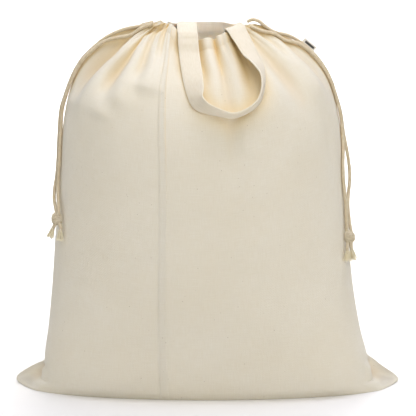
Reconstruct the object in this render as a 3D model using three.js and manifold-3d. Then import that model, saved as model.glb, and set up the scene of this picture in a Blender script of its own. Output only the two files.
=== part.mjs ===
import * as THREE from 'three';
import { mergeVertices } from 'three/addons/utils/BufferGeometryUtils.js';
import Module from 'manifold-3d';

// A cotton canvas drawstring laundry bag, standing as if filled, in millimetres.
// The origin is on the floor under the middle of the bag, +Z is up and the front faces -Y.

// Cloth and sewing
const panelWide = 711;
const clothThick = 2;
const hemThick = 3.2;
const hemDeep = 20;
const drawnThick = 1.4;
const innerClear = 2.2;
const sewnGap = 0.3;

// The felled seam that runs up the front, as a share of the panel's width from its left edge
const felledAt = 0.418;
const felledWide = 11;
const felledProud = 0.9;

// Sections of the bag from the rim down, a row for each: the distance down the cloth, how far
// the section reaches to the left and right and at what heights, and how far it reaches
// forwards and backwards and at what heights, and how square it is: 2 is an ellipse. The last
// row stands on the floor.
const sections = [
  { down: 0, left: -107, right: 84, leftZ: 664, rightZ: 660,
    front: 38, frontZ: 637, back: 50, backZ: 660, square: 2 },
  { down: 20, left: -126, right: 103, leftZ: 658, rightZ: 654,
    front: 49, frontZ: 619, back: 51, backZ: 641, square: 2 },
  { down: 45, left: -149, right: 127, leftZ: 649, rightZ: 644,
    front: 69, frontZ: 604, back: 58, backZ: 617.5, square: 2 },
  { down: 75, left: -176, right: 156, leftZ: 636, rightZ: 629,
    front: 94, frontZ: 586, back: 80, backZ: 597.5, square: 2 },
  { down: 110, left: -206, right: 184, leftZ: 612, rightZ: 606,
    front: 119, frontZ: 562, back: 109, backZ: 577, square: 2 },
  { down: 150, left: -232, right: 209, leftZ: 581, rightZ: 575,
    front: 142, frontZ: 529, back: 136, backZ: 547, square: 2 },
  { down: 200, left: -250, right: 226, leftZ: 536, rightZ: 534,
    front: 159, frontZ: 484, back: 156, backZ: 500.5, square: 2 },
  { down: 260, left: -261, right: 238, leftZ: 480, rightZ: 479,
    front: 169, frontZ: 428, back: 169, backZ: 442, square: 2 },
  { down: 340, left: -267, right: 245, leftZ: 402, rightZ: 401,
    front: 175, frontZ: 354, back: 176, backZ: 364, square: 2 },
  { down: 440, left: -276, right: 254, leftZ: 300, rightZ: 299,
    front: 178, frontZ: 262, back: 179, backZ: 266, square: 2.05 },
  { down: 540, left: -284, right: 264, leftZ: 190, rightZ: 189,
    front: 174, frontZ: 164, back: 175, backZ: 165, square: 2.2 },
  { down: 600, left: -292, right: 278, leftZ: 108, rightZ: 107,
    front: 159, frontZ: 100, back: 160, backZ: 100, square: 2.6 },
  { down: 642, left: -299, right: 291, leftZ: 58, rightZ: 58,
    front: 150, frontZ: 58, back: 151, backZ: 58, square: 3 },
  { down: 678, left: -299, right: 295, leftZ: 22, rightZ: 22,
    front: 141, frontZ: 22, back: 142, backZ: 22, square: 3.2 },
  { down: 700, left: -299, right: 297, leftZ: 0, rightZ: 0,
    front: 128, frontZ: 0, back: 128, backZ: 0, square: 3.3 },
];

const floorDown = sections[sections.length - 1].down;

// How the cloth is shared out round the neck: the turn in degrees from the left side seam
const neckSpreadFront = [
  { across: 0, turn: 0 },
  { across: 0.12, turn: 34 },
  { across: 0.24, turn: 45 },
  { across: 0.33, turn: 50 },
  { across: 0.418, turn: 56 },
  { across: 0.5, turn: 81 },
  { across: 0.56, turn: 103 },
  { across: 0.64, turn: 123 },
  { across: 0.75, turn: 138 },
  { across: 0.87, turn: 153 },
  { across: 1, turn: 180 },
];
const neckSpreadBack = [
  { across: 0, turn: 0 },
  { across: 0.15, turn: 33 },
  { across: 0.32, turn: 52 },
  { across: 0.43, turn: 77 },
  { across: 0.57, turn: 129 },
  { across: 0.7, turn: 142 },
  { across: 0.86, turn: 156 },
  { across: 1, turn: 180 },
];
const neckSpreadReach = 85;

// Beside the open middle of the mouth the front and back rims are drawn together, and closest at
// the left end of the front: over those degrees from the left side seam
const pinchPower = 2.4;
const pinchReach = 95;
const pinchPowerLeft = 5;
const pinchedLeft = { from: 38, full: 48, until: 56, gone: 68 };

// Folds that run down from the gathered rim, a row for each: where the trough starts at the rim
// and where it ends, as shares of the panel's width, how far down it reaches, its half width at
// the rim and on the shoulder, and its depth at the rim and on the shoulder.
const foldsFront = [
  { at: 0.1, to: 0.12, reach: 260, start: 17, wide: 34, rim: 4, deep: 22 },
  { at: 0.19, to: 0.25, reach: 265, start: 17, wide: 22, rim: 4, deep: 15 },
  { at: 0.28, to: 0.335, reach: 165, start: 17, wide: 20, rim: 4, deep: 10 },
  { at: 0.37, to: 0.39, reach: 90, start: 17, wide: 18, rim: 5, deep: 6 },
  { at: 0.455, to: 0.465, reach: 120, start: 12, wide: 15, rim: 5, deep: 6 },
  { at: 0.515, to: 0.52, reach: 130, start: 8, wide: 12, rim: 7, deep: 7 },
  { at: 0.563, to: 0.575, reach: 330, start: 7, wide: 14, rim: 9, deep: 8 },
  { at: 0.643, to: 0.64, reach: 180, start: 10, wide: 20, rim: 8, deep: 11 },
  { at: 0.72, to: 0.79, reach: 235, start: 17, wide: 26, rim: 6, deep: 14 },
  { at: 0.81, to: 0.85, reach: 120, start: 17, wide: 18, rim: 5, deep: 7 },
  { at: 0.9, to: 0.925, reach: 230, start: 17, wide: 24, rim: 4, deep: 9 },
];
const foldsBack = [
  { at: 0.09, to: 0.1, reach: 210, start: 17, wide: 26, rim: 4, deep: 12 },
  { at: 0.18, to: 0.22, reach: 260, start: 17, wide: 26, rim: 4, deep: 15 },
  { at: 0.27, to: 0.3, reach: 130, start: 17, wide: 18, rim: 5, deep: 8 },
  { at: 0.355, to: 0.385, reach: 230, start: 17, wide: 22, rim: 6, deep: 11 },
  { at: 0.44, to: 0.46, reach: 110, start: 17, wide: 18, rim: 3, deep: 5 },
  { at: 0.56, to: 0.545, reach: 150, start: 17, wide: 18, rim: 3, deep: 6 },
  { at: 0.645, to: 0.62, reach: 250, start: 17, wide: 24, rim: 7, deep: 13 },
  { at: 0.73, to: 0.715, reach: 120, start: 17, wide: 18, rim: 5, deep: 8 },
  { at: 0.82, to: 0.79, reach: 270, start: 17, wide: 28, rim: 5, deep: 16 },
  { at: 0.91, to: 0.9, reach: 190, start: 17, wide: 24, rim: 4, deep: 10 },
];

// Swells where a lobe between two folds ends over the fuller body, a row for each
const swellsFront = [
  { across: 0.17, down: 205, wide: 32, tall: 48, high: 8 },
  { across: 0.285, down: 190, wide: 30, tall: 44, high: 7 },
  { across: 0.37, down: 120, wide: 34, tall: 40, high: 5 },
  { across: 0.7, down: 150, wide: 50, tall: 70, high: 4 },
];
const swellsBack = [
  { across: 0.16, down: 190, wide: 36, tall: 60, high: 5 },
  { across: 0.5, down: 170, wide: 70, tall: 70, high: 5 },
  { across: 0.86, down: 180, wide: 36, tall: 60, high: 5 },
];

// The bottom corners stick out as flat ears, a row for each height of their sewn edge
const earEdge = [
  { height: 0, left: -351, right: 349 },
  { height: 5, left: -354, right: 352 },
  { height: 14, left: -350, right: 345 },
  { height: 30, left: -326, right: 322 },
  { height: 44, left: -300, right: 305 },
  { height: 58, left: -290, right: 289 },
];
const earAcross = 0.085;
const earThick = 2.4;
const earHollow = 0.45;
const earBelly = 16;
const insetTurnAcross = 0.3;

// Round the floor the cloth rolls under: how high the roll stands at an ear's tip and elsewhere,
// how far in from the corners the outline on the floor is drawn out, and its bluntness
const rollHighTip = 5;
const rollHigh = 18;
const settleHigh = 50;
const drawnOutAcross = 0.25;
const outlineBlunt = 0.45;
const outlineTip = 0.1;
const outlineTipBlunt = 0.3;

// Rows of the cloth: down from the rim, then by height above the floor
const rowsDown = [0, 7, 14, 20, 28, 42, 60, 80, 104, 130, 160, 194, 232, 280, 345, 425, 510, 585, 642];
const rowsHigh = [46, 35, 25, 16, 9, 4, 0];
const columnsLeft = 22;
const columnsPleated = 20;
const pleatedTo = 0.665;
const columnsRight = 18;
const columnsBack = 41;

// Handle strap: a webbing sewn inside the back of the mouth at both ends. A row for each station of
// its middle line, with the turn of its width to the right and how far the width points forwards.
const strapWide = 36;
const strapThick = 3;
const strapStations = [
  { x: -38, y: 45.1, z: 630, turn: 0, lift: -5 },
  { x: -38, y: 41.8, z: 638, turn: 0, lift: -7 },
  { x: -38, y: 38.2, z: 646, turn: 0, lift: -10 },
  { x: -38, y: 33, z: 653, turn: 0, lift: -13 },
  { x: -38, y: 26, z: 658, turn: 0, lift: -14 },
  { x: -38, y: 15, z: 660, turn: 0, lift: -10 },
  { x: -38, y: 2, z: 658.5, turn: 0, lift: -4 },
  { x: -37.5, y: -11, z: 655, turn: 0, lift: 0 },
  { x: -37, y: -22, z: 652, turn: -3, lift: 0 },
  { x: -36.5, y: -32, z: 648.5, turn: -4, lift: 0 },
  { x: -35.5, y: -40.5, z: 643, turn: -3, lift: 0 },
  { x: -35, y: -48, z: 633, turn: 0, lift: 0 },
  { x: -33, y: -62, z: 613, turn: 0, lift: 2 },
  { x: -28, y: -104, z: 584, turn: 3, lift: 12 },
  { x: -22, y: -139, z: 557, turn: 12, lift: 32 },
  { x: -17, y: -156, z: 540, turn: 36, lift: 44 },
  { x: -2, y: -165, z: 529, turn: 62, lift: 60 },
  { x: 20, y: -166, z: 521, turn: 75, lift: 72 },
  { x: 44, y: -163, z: 516, turn: 95, lift: 78 },
  { x: 68, y: -160, z: 524, turn: 105, lift: 80 },
  { x: 86, y: -151, z: 538, turn: 110, lift: 80 },
  { x: 94, y: -139, z: 556, turn: 118, lift: 78 },
  { x: 95, y: -124, z: 577, turn: 140, lift: 74 },
  { x: 88, y: -105, z: 595, turn: 168, lift: 58 },
  { x: 76, y: -82, z: 612, turn: 182, lift: 38 },
  { x: 64, y: -58, z: 631, turn: 187, lift: 34 },
  { x: 56, y: -40, z: 644, turn: 200, lift: 36 },
  { x: 50, y: -27, z: 653.3, turn: 210, lift: 40 },
  { x: 46, y: -15.5, z: 656, turn: 213, lift: 50 },
  { x: 42.5, y: -3, z: 652, turn: 218, lift: 46 },
  { x: 41, y: 8, z: 645, turn: 205, lift: 26 },
  { x: 42, y: 19, z: 639, turn: 190, lift: 8 },
  { x: 43.5, y: 28.5, z: 636.5, turn: 182, lift: -8 },
  { x: 45, y: 35.4, z: 632, turn: 180, lift: -13 },
  { x: 45, y: 39.2, z: 626.5, turn: 180, lift: -11 },
  { x: 45, y: 43.6, z: 620, turn: 180, lift: -7 },
];
const strapRowsEach = 2;
const strapColumns = 3;

// Drawcords: two strands at each side, laid along the shoulder and down the side to their knot
const cordThick = 6;
const cordSides = 10;
const cordSteps = 20;
const routeLeftOuter = [
  { x: -98, y: -6.5, z: 664.5 },
  { x: -120, y: -8, z: 657.5 },
  { x: -143.5, y: -7, z: 653 },
  { x: -167, y: -6, z: 645 },
  { x: -188.5, y: -5.5, z: 632.5 },
  { x: -207, y: -5.5, z: 617 },
  { x: -224.5, y: -5.5, z: 599.5 },
  { x: -238, y: -5.5, z: 579 },
  { x: -248.7, y: -5.5, z: 556 },
  { x: -257, y: -5.5, z: 533 },
  { x: -264.2, y: -5.5, z: 510.5 },
  { x: -267.2, y: -6.5, z: 487 },
  { x: -268.5, y: -9.5, z: 464 },
  { x: -269.7, y: -13.5, z: 440 },
  { x: -270.9, y: -16.5, z: 414 },
  { x: -273.2, y: -20, z: 388 },
  { x: -277.2, y: -25, z: 362 },
  { x: -277, y: -33, z: 345 },
  { x: -273, y: -50, z: 331 },
];
const routeLeftInner = [
  { x: -98, y: -17, z: 662.8 },
  { x: -119.5, y: -15.7, z: 653.8 },
  { x: -137.5, y: -16, z: 642 },
  { x: -161, y: -16.7, z: 637.5 },
  { x: -185.5, y: -16, z: 630 },
  { x: -205.3, y: -15, z: 615.5 },
  { x: -222.8, y: -14.6, z: 598.5 },
  { x: -236.2, y: -14.4, z: 578.5 },
  { x: -247, y: -14.4, z: 555.5 },
  { x: -255, y: -14.2, z: 532.5 },
  { x: -261.3, y: -14.2, z: 510.5 },
  { x: -263.8, y: -15.2, z: 487 },
  { x: -265, y: -18.5, z: 464.5 },
  { x: -266.3, y: -22.5, z: 441 },
  { x: -267.8, y: -25.5, z: 415 },
  { x: -269.6, y: -29, z: 388 },
  { x: -270, y: -37, z: 362 },
  { x: -268.8, y: -46.5, z: 345 },
  { x: -267.8, y: -60, z: 331 },
];
const routeRightOuter = [
  { x: 70, y: -6, z: 665 },
  { x: 80, y: -5.5, z: 668.5 },
  { x: 91, y: -5, z: 665.5 },
  { x: 101, y: -5, z: 657.5 },
  { x: 119, y: -7.5, z: 646.5 },
  { x: 143.3, y: -7, z: 640.5 },
  { x: 165, y: -6, z: 628.5 },
  { x: 183.5, y: -5.5, z: 613.5 },
  { x: 199.7, y: -5.5, z: 595.8 },
  { x: 213, y: -5.5, z: 575.7 },
  { x: 223.3, y: -5.5, z: 553.7 },
  { x: 230.6, y: -5.5, z: 531 },
  { x: 237.4, y: -5.5, z: 509 },
  { x: 241.7, y: -6, z: 486.5 },
  { x: 244.6, y: -7, z: 464.5 },
  { x: 250.3, y: -9.5, z: 436 },
  { x: 254.7, y: -13, z: 408 },
  { x: 256, y: -17, z: 382 },
  { x: 253.5, y: -23.5, z: 357 },
  { x: 252.3, y: -31.5, z: 335 },
  { x: 254.2, y: -41, z: 312 },
  { x: 256.3, y: -48, z: 297 },
];
const routeRightInner = [
  { x: 76, y: -14, z: 657 },
  { x: 95.5, y: -17, z: 649.5 },
  { x: 119, y: -15.4, z: 643.7 },
  { x: 137.5, y: -16.5, z: 633 },
  { x: 162.5, y: -15.6, z: 626.3 },
  { x: 182.5, y: -14.7, z: 612.5 },
  { x: 198.5, y: -14.5, z: 595.3 },
  { x: 212, y: -14.3, z: 575.3 },
  { x: 222.5, y: -14.2, z: 553.5 },
  { x: 229.5, y: -14.2, z: 531 },
  { x: 236, y: -14.2, z: 509 },
  { x: 240.2, y: -14.6, z: 486.5 },
  { x: 241.8, y: -20, z: 464.5 },
  { x: 242.6, y: -29.5, z: 440 },
  { x: 242.2, y: -36.3, z: 415 },
  { x: 242.8, y: -41, z: 388 },
  { x: 245, y: -42.3, z: 364 },
  { x: 247.4, y: -43.5, z: 345 },
  { x: 248.4, y: -46.5, z: 322 },
  { x: 249.5, y: -51, z: 297 },
];

// Knots: the strands come in at the top, wind round each other and go out as two frayed tails
const knotCore = { across: 8.6, deep: 7, tall: 7.6 };
const knotWraps = [
  { radius: 6.4, turnX: 62, turnY: 24, up: 2 },
  { radius: 6.4, turnX: 118, turnY: -20, up: -2.4 },
];
const knotWrapThick = 7;
const knotLeftAt = { x: -270.5, y: -64, z: 317.5 };
const knotRightAt = { x: 254.5, y: -56, z: 283 };
const tailsLeft = [
  [{ x: -272, y: -64, z: 312 }, { x: -276, y: -65, z: 303 }, { x: -279, y: -65, z: 295 }],
  [{ x: -268, y: -65, z: 312 }, { x: -263.5, y: -69, z: 303 }, { x: -264.5, y: -71, z: 292 }],
];
const tailsRight = [
  [{ x: 252, y: -57, z: 276 }, { x: 250.3, y: -61.5, z: 265 }, { x: 250.3, y: -65, z: 253 }],
  [{ x: 257, y: -57, z: 276 }, { x: 257.2, y: -60, z: 265 }, { x: 259.5, y: -62, z: 254 }],
];
const tailSteps = 3;
const frayStrands = 6;
const frayLong = 15;
const frayThick = 2.8;
const fraySplay = 2.6;

// Side label: a plain woven tab that stands out of the right side seam
const labelLong = 28;
const labelWide = 11;
const labelThick = 1;
const labelAt = { x: 178, y: 0, z: 619.2 };
const labelTurn = 39;

function readTable(table, key, at, column) {
  const last = table.length - 1;
  let span = 0;
  while (span < last - 1 && at > table[span + 1][key]) span += 1;
  const slope = (low, high) => {
    const a = table[Math.max(low, 0)];
    const b = table[Math.min(high, last)];
    return (b[column] - a[column]) / (b[key] - a[key]);
  };
  const from = table[span];
  const to = table[span + 1];
  const length = to[key] - from[key];
  const t = THREE.MathUtils.clamp((at - from[key]) / length, 0, 1);
  const leave = slope(span - 1, span + 1) * length;
  const arrive = slope(span, span + 2) * length;
  return (2 * t ** 3 - 3 * t ** 2 + 1) * from[column] + (t ** 3 - 2 * t ** 2 + t) * leave
    + (3 * t ** 2 - 2 * t ** 3) * to[column] + (t ** 3 - t ** 2) * arrive;
}

function ease(from, to, value) {
  return THREE.MathUtils.smoothstep(value, from, to);
}

function mix(a, b, share) {
  return a + (b - a) * share;
}

const front = {
  side: -1,
  spread: neckSpreadFront,
  folds: foldsFront,
  swells: swellsFront,
  reach: 'front',
  height: 'frontZ',
};
const back = {
  side: 1,
  spread: neckSpreadBack,
  folds: foldsBack,
  swells: swellsBack,
  reach: 'back',
  height: 'backZ',
};

function turnAt(face, across, down) {
  const even = 180 * across;
  const gathered = readTable(face.spread, 'across', across, 'turn');
  return THREE.MathUtils.degToRad(mix(even, gathered, Math.exp(-down / neckSpreadReach)));
}

// A point of the bag's smooth form, before its folds
function formPoint(face, across, down) {
  const read = (column) => readTable(sections, 'down', down, column);
  const turn = turnAt(face, across, down);
  const left = read('left');
  const right = read('right');
  const sideZ = across < 0.5 ? read('leftZ') : read('rightZ');
  const square = read('square');
  const round = Math.max(1 - Math.abs(Math.cos(turn)) ** square, 0) ** (1 / square);
  const degrees = THREE.MathUtils.radToDeg(turn);
  const { from, full, until, gone } = pinchedLeft;
  const close = face === front ? ease(from, full, degrees) * (1 - ease(until, gone, degrees)) : 0;
  const pinch = mix(pinchPower, pinchPowerLeft, close);
  const bulge = round ** mix(pinch, 1, ease(0, pinchReach, down));
  return new THREE.Vector3(
    (left + right) / 2 - ((right - left) / 2) * Math.cos(turn),
    face.side * (sewnGap / 2 + read(face.reach) * bulge),
    mix(sideZ, read(face.height), bulge ** 2),
  );
}

function outwardAt(face, across, down) {
  const step = 0.004;
  const lay = 2;
  const before = formPoint(face, Math.max(across - step, 0), down);
  const above = formPoint(face, across, Math.max(down - lay, 0));
  const alongRow = formPoint(face, Math.min(across + step, 1), down).sub(before);
  const alongSeam = formPoint(face, across, down + lay).sub(above);
  const outward = alongRow.cross(alongSeam).multiplyScalar(face.side);
  if (across <= 0 || across >= 1) outward.y = 0;
  return outward.normalize();
}

function foldHeight(face, across, down) {
  let height = 0;
  for (const fold of face.folds) {
    const run = Math.min(down / fold.reach, 1);
    const middle = mix(fold.at, fold.to, run);
    const wide = mix(fold.start, fold.wide, ease(15, 100, down));
    const fading = 1 - ease(0.5 * fold.reach, fold.reach, down);
    const deep = mix(fold.rim, fold.deep, ease(15, 100, down)) * fading;
    const away = ((across - middle) * panelWide) / wide;
    height -= deep * Math.exp(-away * away);
  }
  for (const swell of face.swells) {
    const aside = ((across - swell.across) * panelWide) / swell.wide;
    const below = (down - swell.down) / swell.tall;
    height += swell.high * Math.exp(-aside * aside - below * below);
  }
  const fromSeam = Math.min(across, 1 - across) * panelWide;
  return height * ease(0, 40, fromSeam);
}

// Cloth that is drawn together stays on its own side of the bag's middle
function keepOnSide(point, face, least) {
  point.y = face.side * Math.max(face.side * point.y, sewnGap / 2 + least);
}

function felledHeight(face, across) {
  if (face !== front) return 0;
  const away = Math.abs(across - felledAt) * panelWide;
  return away <= felledWide / 2 + 0.01 ? felledProud : 0;
}

function upperPoints(face, across, down) {
  const outward = outwardAt(face, across, down);
  const outer = formPoint(face, across, down);
  outer.addScaledVector(outward, foldHeight(face, across, down));
  const thick = mix(hemThick, clothThick, ease(hemDeep - 2, hemDeep + 8, down));
  const inner = outer.clone().addScaledVector(outward, -thick);
  outer.addScaledVector(outward, felledHeight(face, across));
  keepOnSide(inner, face, 0);
  if (across > 0 && across < 1) keepOnSide(outer, face, drawnThick);
  return { outer, inner };
}

// How far the outline on the floor reaches forwards or backwards at a distance to the side
function floorReach(face, x) {
  const tip = x < 0 ? earEdge[0].left : earEdge[0].right;
  const aside = Math.min(x / tip, 1);
  const taper = Math.min((1 - aside) / outlineTip, 1) ** outlineTipBlunt;
  return sections[sections.length - 1][face.reach] * (1 - aside ** 2) ** outlineBlunt * taper;
}

// A point of the body near the floor, which settles onto the outline there
function bodyPoint(face, across, height) {
  const body = formPoint(face, across, floorDown - height);
  const onFloor = formPoint(face, across, floorDown);
  const fromSeam = Math.min(across, 1 - across);
  const tipX = across < 0.5 ? earEdge[0].left : earEdge[0].right;
  const seamX = formPoint(face, Math.round(across), floorDown).x;
  const footX = onFloor.x + (tipX - seamX) * Math.max(1 - fromSeam / drawnOutAcross, 0) ** 2;
  const footY = face.side * (floorReach(face, footX) + sewnGap / 2);
  const roll = mix(rollHighTip, rollHigh, Math.min(fromSeam / earAcross, 1));
  const rolled = Math.sqrt(1 - Math.min(height / roll, 1) ** 2);
  const settled = (1 - Math.min(height / settleHigh, 1)) ** 2;
  const low = mix(rolled, settled, ease(0.6 * earAcross, 1.7 * earAcross, fromSeam));
  body.x += (footX - onFloor.x) * low;
  body.y += (footY - onFloor.y) * low;
  return body;
}

// The ear at a bottom corner: cloth from its sewn edge to the corner of the body
function earPoint(face, across, height, body) {
  const onLeft = across < 0.5;
  const along = (onLeft ? across : 1 - across) / earAcross;
  const root = bodyPoint(face, onLeft ? earAcross : 1 - earAcross, height);
  const edge = formPoint(face, Math.round(across), floorDown - height);
  const sewnX = readTable(earEdge, 'height', height, onLeft ? 'left' : 'right');
  const proud = Math.max(Math.abs(sewnX) - Math.abs(edge.x), 0);
  const tip = edge.clone().setX(Math.sign(sewnX) * (Math.abs(edge.x) + proud));
  const flat = edge.clone().setY(face.side * earThick);
  const hinge = tip.clone().lerp(root, 0.5).lerp(flat, earHollow * ease(0, rollHigh, height));
  hinge.y += face.side * earBelly * (1 - ease(0, rollHigh, height));
  const flap = new THREE.QuadraticBezierCurve3(tip, hinge, root).getPoint(along);
  return body.clone().lerp(flap, ease(0, 10, proud));
}

// The lowest stretch, outside and inside: the body and the ears at its corners
function lowerPoints(face, across, height) {
  const fromSeam = Math.min(across, 1 - across);
  const body = bodyPoint(face, across, height);
  const outer = fromSeam < earAcross ? earPoint(face, across, height, body) : body;
  const inner = outer.clone();
  const turn = (Math.PI / 2) * (1 - (1 - Math.min(fromSeam / insetTurnAcross, 1)) ** 3);
  const inset = innerClear * mix(1.6, 1, Math.min(fromSeam / earAcross, 1));
  inner.x += Math.cos(turn) * inset * (across < 0.5 ? 1 : -1);
  inner.y -= face.side * Math.sin(turn) * innerClear;
  outer.y += face.side * felledHeight(face, across);
  keepOnSide(inner, face, 0);
  inner.z = height + clothThick * Math.max(1 - height / rollHigh, 0);
  return { outer, inner };
}

function clothColumn(face, acrossAt) {
  const outer = [];
  const inner = [];
  const add = (points) => {
    outer.unshift(points.outer);
    inner.unshift(points.inner);
  };
  for (const down of rowsDown) add(upperPoints(face, acrossAt(down), down));
  for (const height of rowsHigh) {
    add(lowerPoints(face, acrossAt(floorDown - height), height));
  }
  const seamY = (face.side * sewnGap) / 2;
  outer.unshift(new THREE.Vector3(outer[0].x, seamY, 0));
  inner.unshift(new THREE.Vector3(inner[0].x, seamY, clothThick));
  return { outer, inner };
}

function signedVolume(geometry) {
  const position = geometry.getAttribute('position');
  const index = geometry.getIndex();
  const a = new THREE.Vector3();
  const b = new THREE.Vector3();
  const c = new THREE.Vector3();
  let volume = 0;
  for (let i = 0; i < index.count; i += 3) {
    a.fromBufferAttribute(position, index.getX(i));
    b.fromBufferAttribute(position, index.getX(i + 1));
    c.fromBufferAttribute(position, index.getX(i + 2));
    volume += a.dot(b.cross(c)) / 6;
  }
  return volume;
}

// A closed solid from corner points and triangles, with doubled corners joined
function closedSolid(points, triangles) {
  const raw = new THREE.BufferGeometry();
  raw.setAttribute('position', new THREE.Float32BufferAttribute(points.flatMap((p) => [p.x, p.y, p.z]), 3));
  raw.setIndex(triangles);
  const solid = mergeVertices(raw, 1e-4);
  const merged = solid.getIndex().array;
  const kept = [];
  for (let i = 0; i < merged.length; i += 3) {
    const [a, b, c] = [merged[i], merged[i + 1], merged[i + 2]];
    if (a !== b && b !== c && c !== a) kept.push(a, b, c);
  }
  solid.setIndex(kept);
  if (signedVolume(solid) < 0) {
    for (let i = 0; i < kept.length; i += 3) [kept[i], kept[i + 1]] = [kept[i + 1], kept[i]];
    solid.setIndex(kept);
  }
  solid.computeVertexNormals();
  return solid;
}

// A cloth panel from columns that each run from the bottom seam to the rim, outside and inside
function clothPanel(columns) {
  const rows = columns[0].outer.length;
  const points = columns.flatMap((column) => [...column.outer, ...column.inner]);
  const outerAt = (column, row) => column * 2 * rows + row;
  const innerAt = (column, row) => column * 2 * rows + rows + row;
  const triangles = [];
  const quad = (a, b, c, d) => triangles.push(a, b, c, a, c, d);
  for (let column = 0; column < columns.length - 1; column += 1) {
    const next = column + 1;
    for (let row = 0; row < rows - 1; row += 1) {
      quad(outerAt(column, row), outerAt(next, row), outerAt(next, row + 1), outerAt(column, row + 1));
      quad(innerAt(column, row + 1), innerAt(next, row + 1), innerAt(next, row), innerAt(column, row));
    }
    const rim = rows - 1;
    quad(outerAt(column, rim), outerAt(next, rim), innerAt(next, rim), innerAt(column, rim));
    quad(innerAt(column, 0), innerAt(next, 0), outerAt(next, 0), outerAt(column, 0));
  }
  const end = columns.length - 1;
  for (let row = 0; row < rows - 1; row += 1) {
    quad(outerAt(0, row), outerAt(0, row + 1), innerAt(0, row + 1), innerAt(0, row));
    quad(innerAt(end, row), innerAt(end, row + 1), outerAt(end, row + 1), outerAt(end, row));
  }
  return closedSolid(points, triangles);
}

function evenColumns(from, to, count) {
  return Array.from({ length: count + 1 }, (_, i) => () => mix(from, to, i / count));
}

// The cut edge beside the felled seam keeps half the sewn gap from the seam's line on every row
function cutColumn(sign) {
  return (down) => {
    const step = 0.002;
    const span = formPoint(front, felledAt + step, down).distanceTo(formPoint(front, felledAt - step, down));
    return felledAt + (sign * (sewnGap / 2) * 2 * step) / span;
  };
}

function frontPanels() {
  const bandHalf = felledWide / 2 / panelWide;
  const clear = bandHalf + 2 / panelWide;
  const left = [
    ...evenColumns(0, felledAt - clear, columnsLeft),
    () => felledAt - bandHalf,
    cutColumn(-1),
  ];
  const right = [
    cutColumn(1),
    () => felledAt + bandHalf,
    ...evenColumns(felledAt + clear, pleatedTo, columnsPleated).slice(0, -1),
    ...evenColumns(pleatedTo, 1, columnsRight),
  ];
  return [left, right].map((columns) => clothPanel(columns.map((acrossAt) => clothColumn(front, acrossAt))));
}

function vectorOf(place) {
  return new THREE.Vector3(place.x, place.y, place.z);
}

// The strap from its stations: across each row it is flat, and its edges keep its thickness
function strapGeometry() {
  const middle = new THREE.CatmullRomCurve3(strapStations.map(vectorOf));
  const widths = new THREE.CatmullRomCurve3(strapStations.map((station) => {
    const turn = THREE.MathUtils.degToRad(station.turn);
    const lift = THREE.MathUtils.degToRad(station.lift);
    const level = new THREE.Vector3(Math.cos(turn), 0, Math.sin(turn)).multiplyScalar(Math.cos(lift));
    return level.add(new THREE.Vector3(0, -1, 0.18).normalize().multiplyScalar(Math.sin(lift)));
  }));
  const rows = (strapStations.length - 1) * strapRowsEach;
  const columns = [];
  for (let row = 0; row <= rows; row += 1) {
    const at = row / rows;
    const centre = middle.getPoint(at);
    const along = middle.getTangent(at);
    const width = widths.getPoint(at);
    width.addScaledVector(along, -width.dot(along)).normalize();
    const facing = along.cross(width).multiplyScalar(strapThick / 2);
    const across = Array.from({ length: strapColumns + 1 }, (_, i) => (
      centre.clone().addScaledVector(width, (i / strapColumns - 0.5) * strapWide)
    ));
    columns.push({
      outer: across.map((point) => point.clone().add(facing)),
      inner: across.map((point) => point.clone().sub(facing)),
    });
  }
  return clothPanel(columns);
}

// A round length along a route, with flat ends
function roundLength(points, thick, sides, steps) {
  const corners = Array.from({ length: sides }, (_, i) => {
    const turn = (2 * Math.PI * i) / sides;
    return new THREE.Vector2(Math.cos(turn), Math.sin(turn)).multiplyScalar(thick / 2);
  });
  const extrudePath = new THREE.CatmullRomCurve3(points);
  return new THREE.ExtrudeGeometry(new THREE.Shape(corners), { steps, extrudePath, bevelEnabled: false });
}

function welded(geometry) {
  const bare = geometry.clone();
  bare.deleteAttribute('normal');
  bare.deleteAttribute('uv');
  const joined = mergeVertices(bare, 1e-4);
  joined.computeVertexNormals();
  return joined;
}

const wasm = await Module();
wasm.setup();

function toManifold(geometry) {
  const joined = welded(geometry);
  return new wasm.Manifold(new wasm.Mesh({
    numProp: 3,
    vertProperties: new Float32Array(joined.getAttribute('position').array),
    triVerts: new Uint32Array(joined.getIndex().array),
  }));
}

function fromManifold(manifold) {
  const mesh = manifold.getMesh();
  const geometry = new THREE.BufferGeometry();
  geometry.setAttribute('position', new THREE.BufferAttribute(new Float32Array(mesh.vertProperties), 3));
  geometry.setIndex(new THREE.BufferAttribute(new Uint32Array(mesh.triVerts), 1));
  geometry.computeVertexNormals();
  return geometry;
}

// The loose strands at the end of a tail, spread round its direction
function frayedEnd(tail) {
  const end = tail[tail.length - 1];
  const down = end.clone().sub(tail[tail.length - 2]).normalize();
  const aside = new THREE.Vector3(1, 0, 0).addScaledVector(down, -down.x).normalize();
  const forward = down.clone().cross(aside);
  return Array.from({ length: frayStrands }, (_, i) => {
    const turn = (2 * Math.PI * i) / frayStrands + 0.4 * (i % 2);
    const out = i === 0 ? 0 : cordThick / 3;
    const from = end.clone().addScaledVector(down, -2.5);
    from.addScaledVector(aside, Math.cos(turn) * out * 0.7);
    from.addScaledVector(forward, Math.sin(turn) * out * 0.7);
    const to = end.clone().addScaledVector(down, frayLong * (0.75 + 0.1 * (i % 4)));
    to.addScaledVector(aside, Math.cos(turn) * out * fraySplay);
    to.addScaledVector(forward, Math.sin(turn) * out * fraySplay);
    const bend = from.clone().lerp(to, 0.5).addScaledVector(aside, Math.cos(turn) * out * 0.3);
    return roundLength([from, bend, to], frayThick, 3, 2);
  });
}

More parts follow.
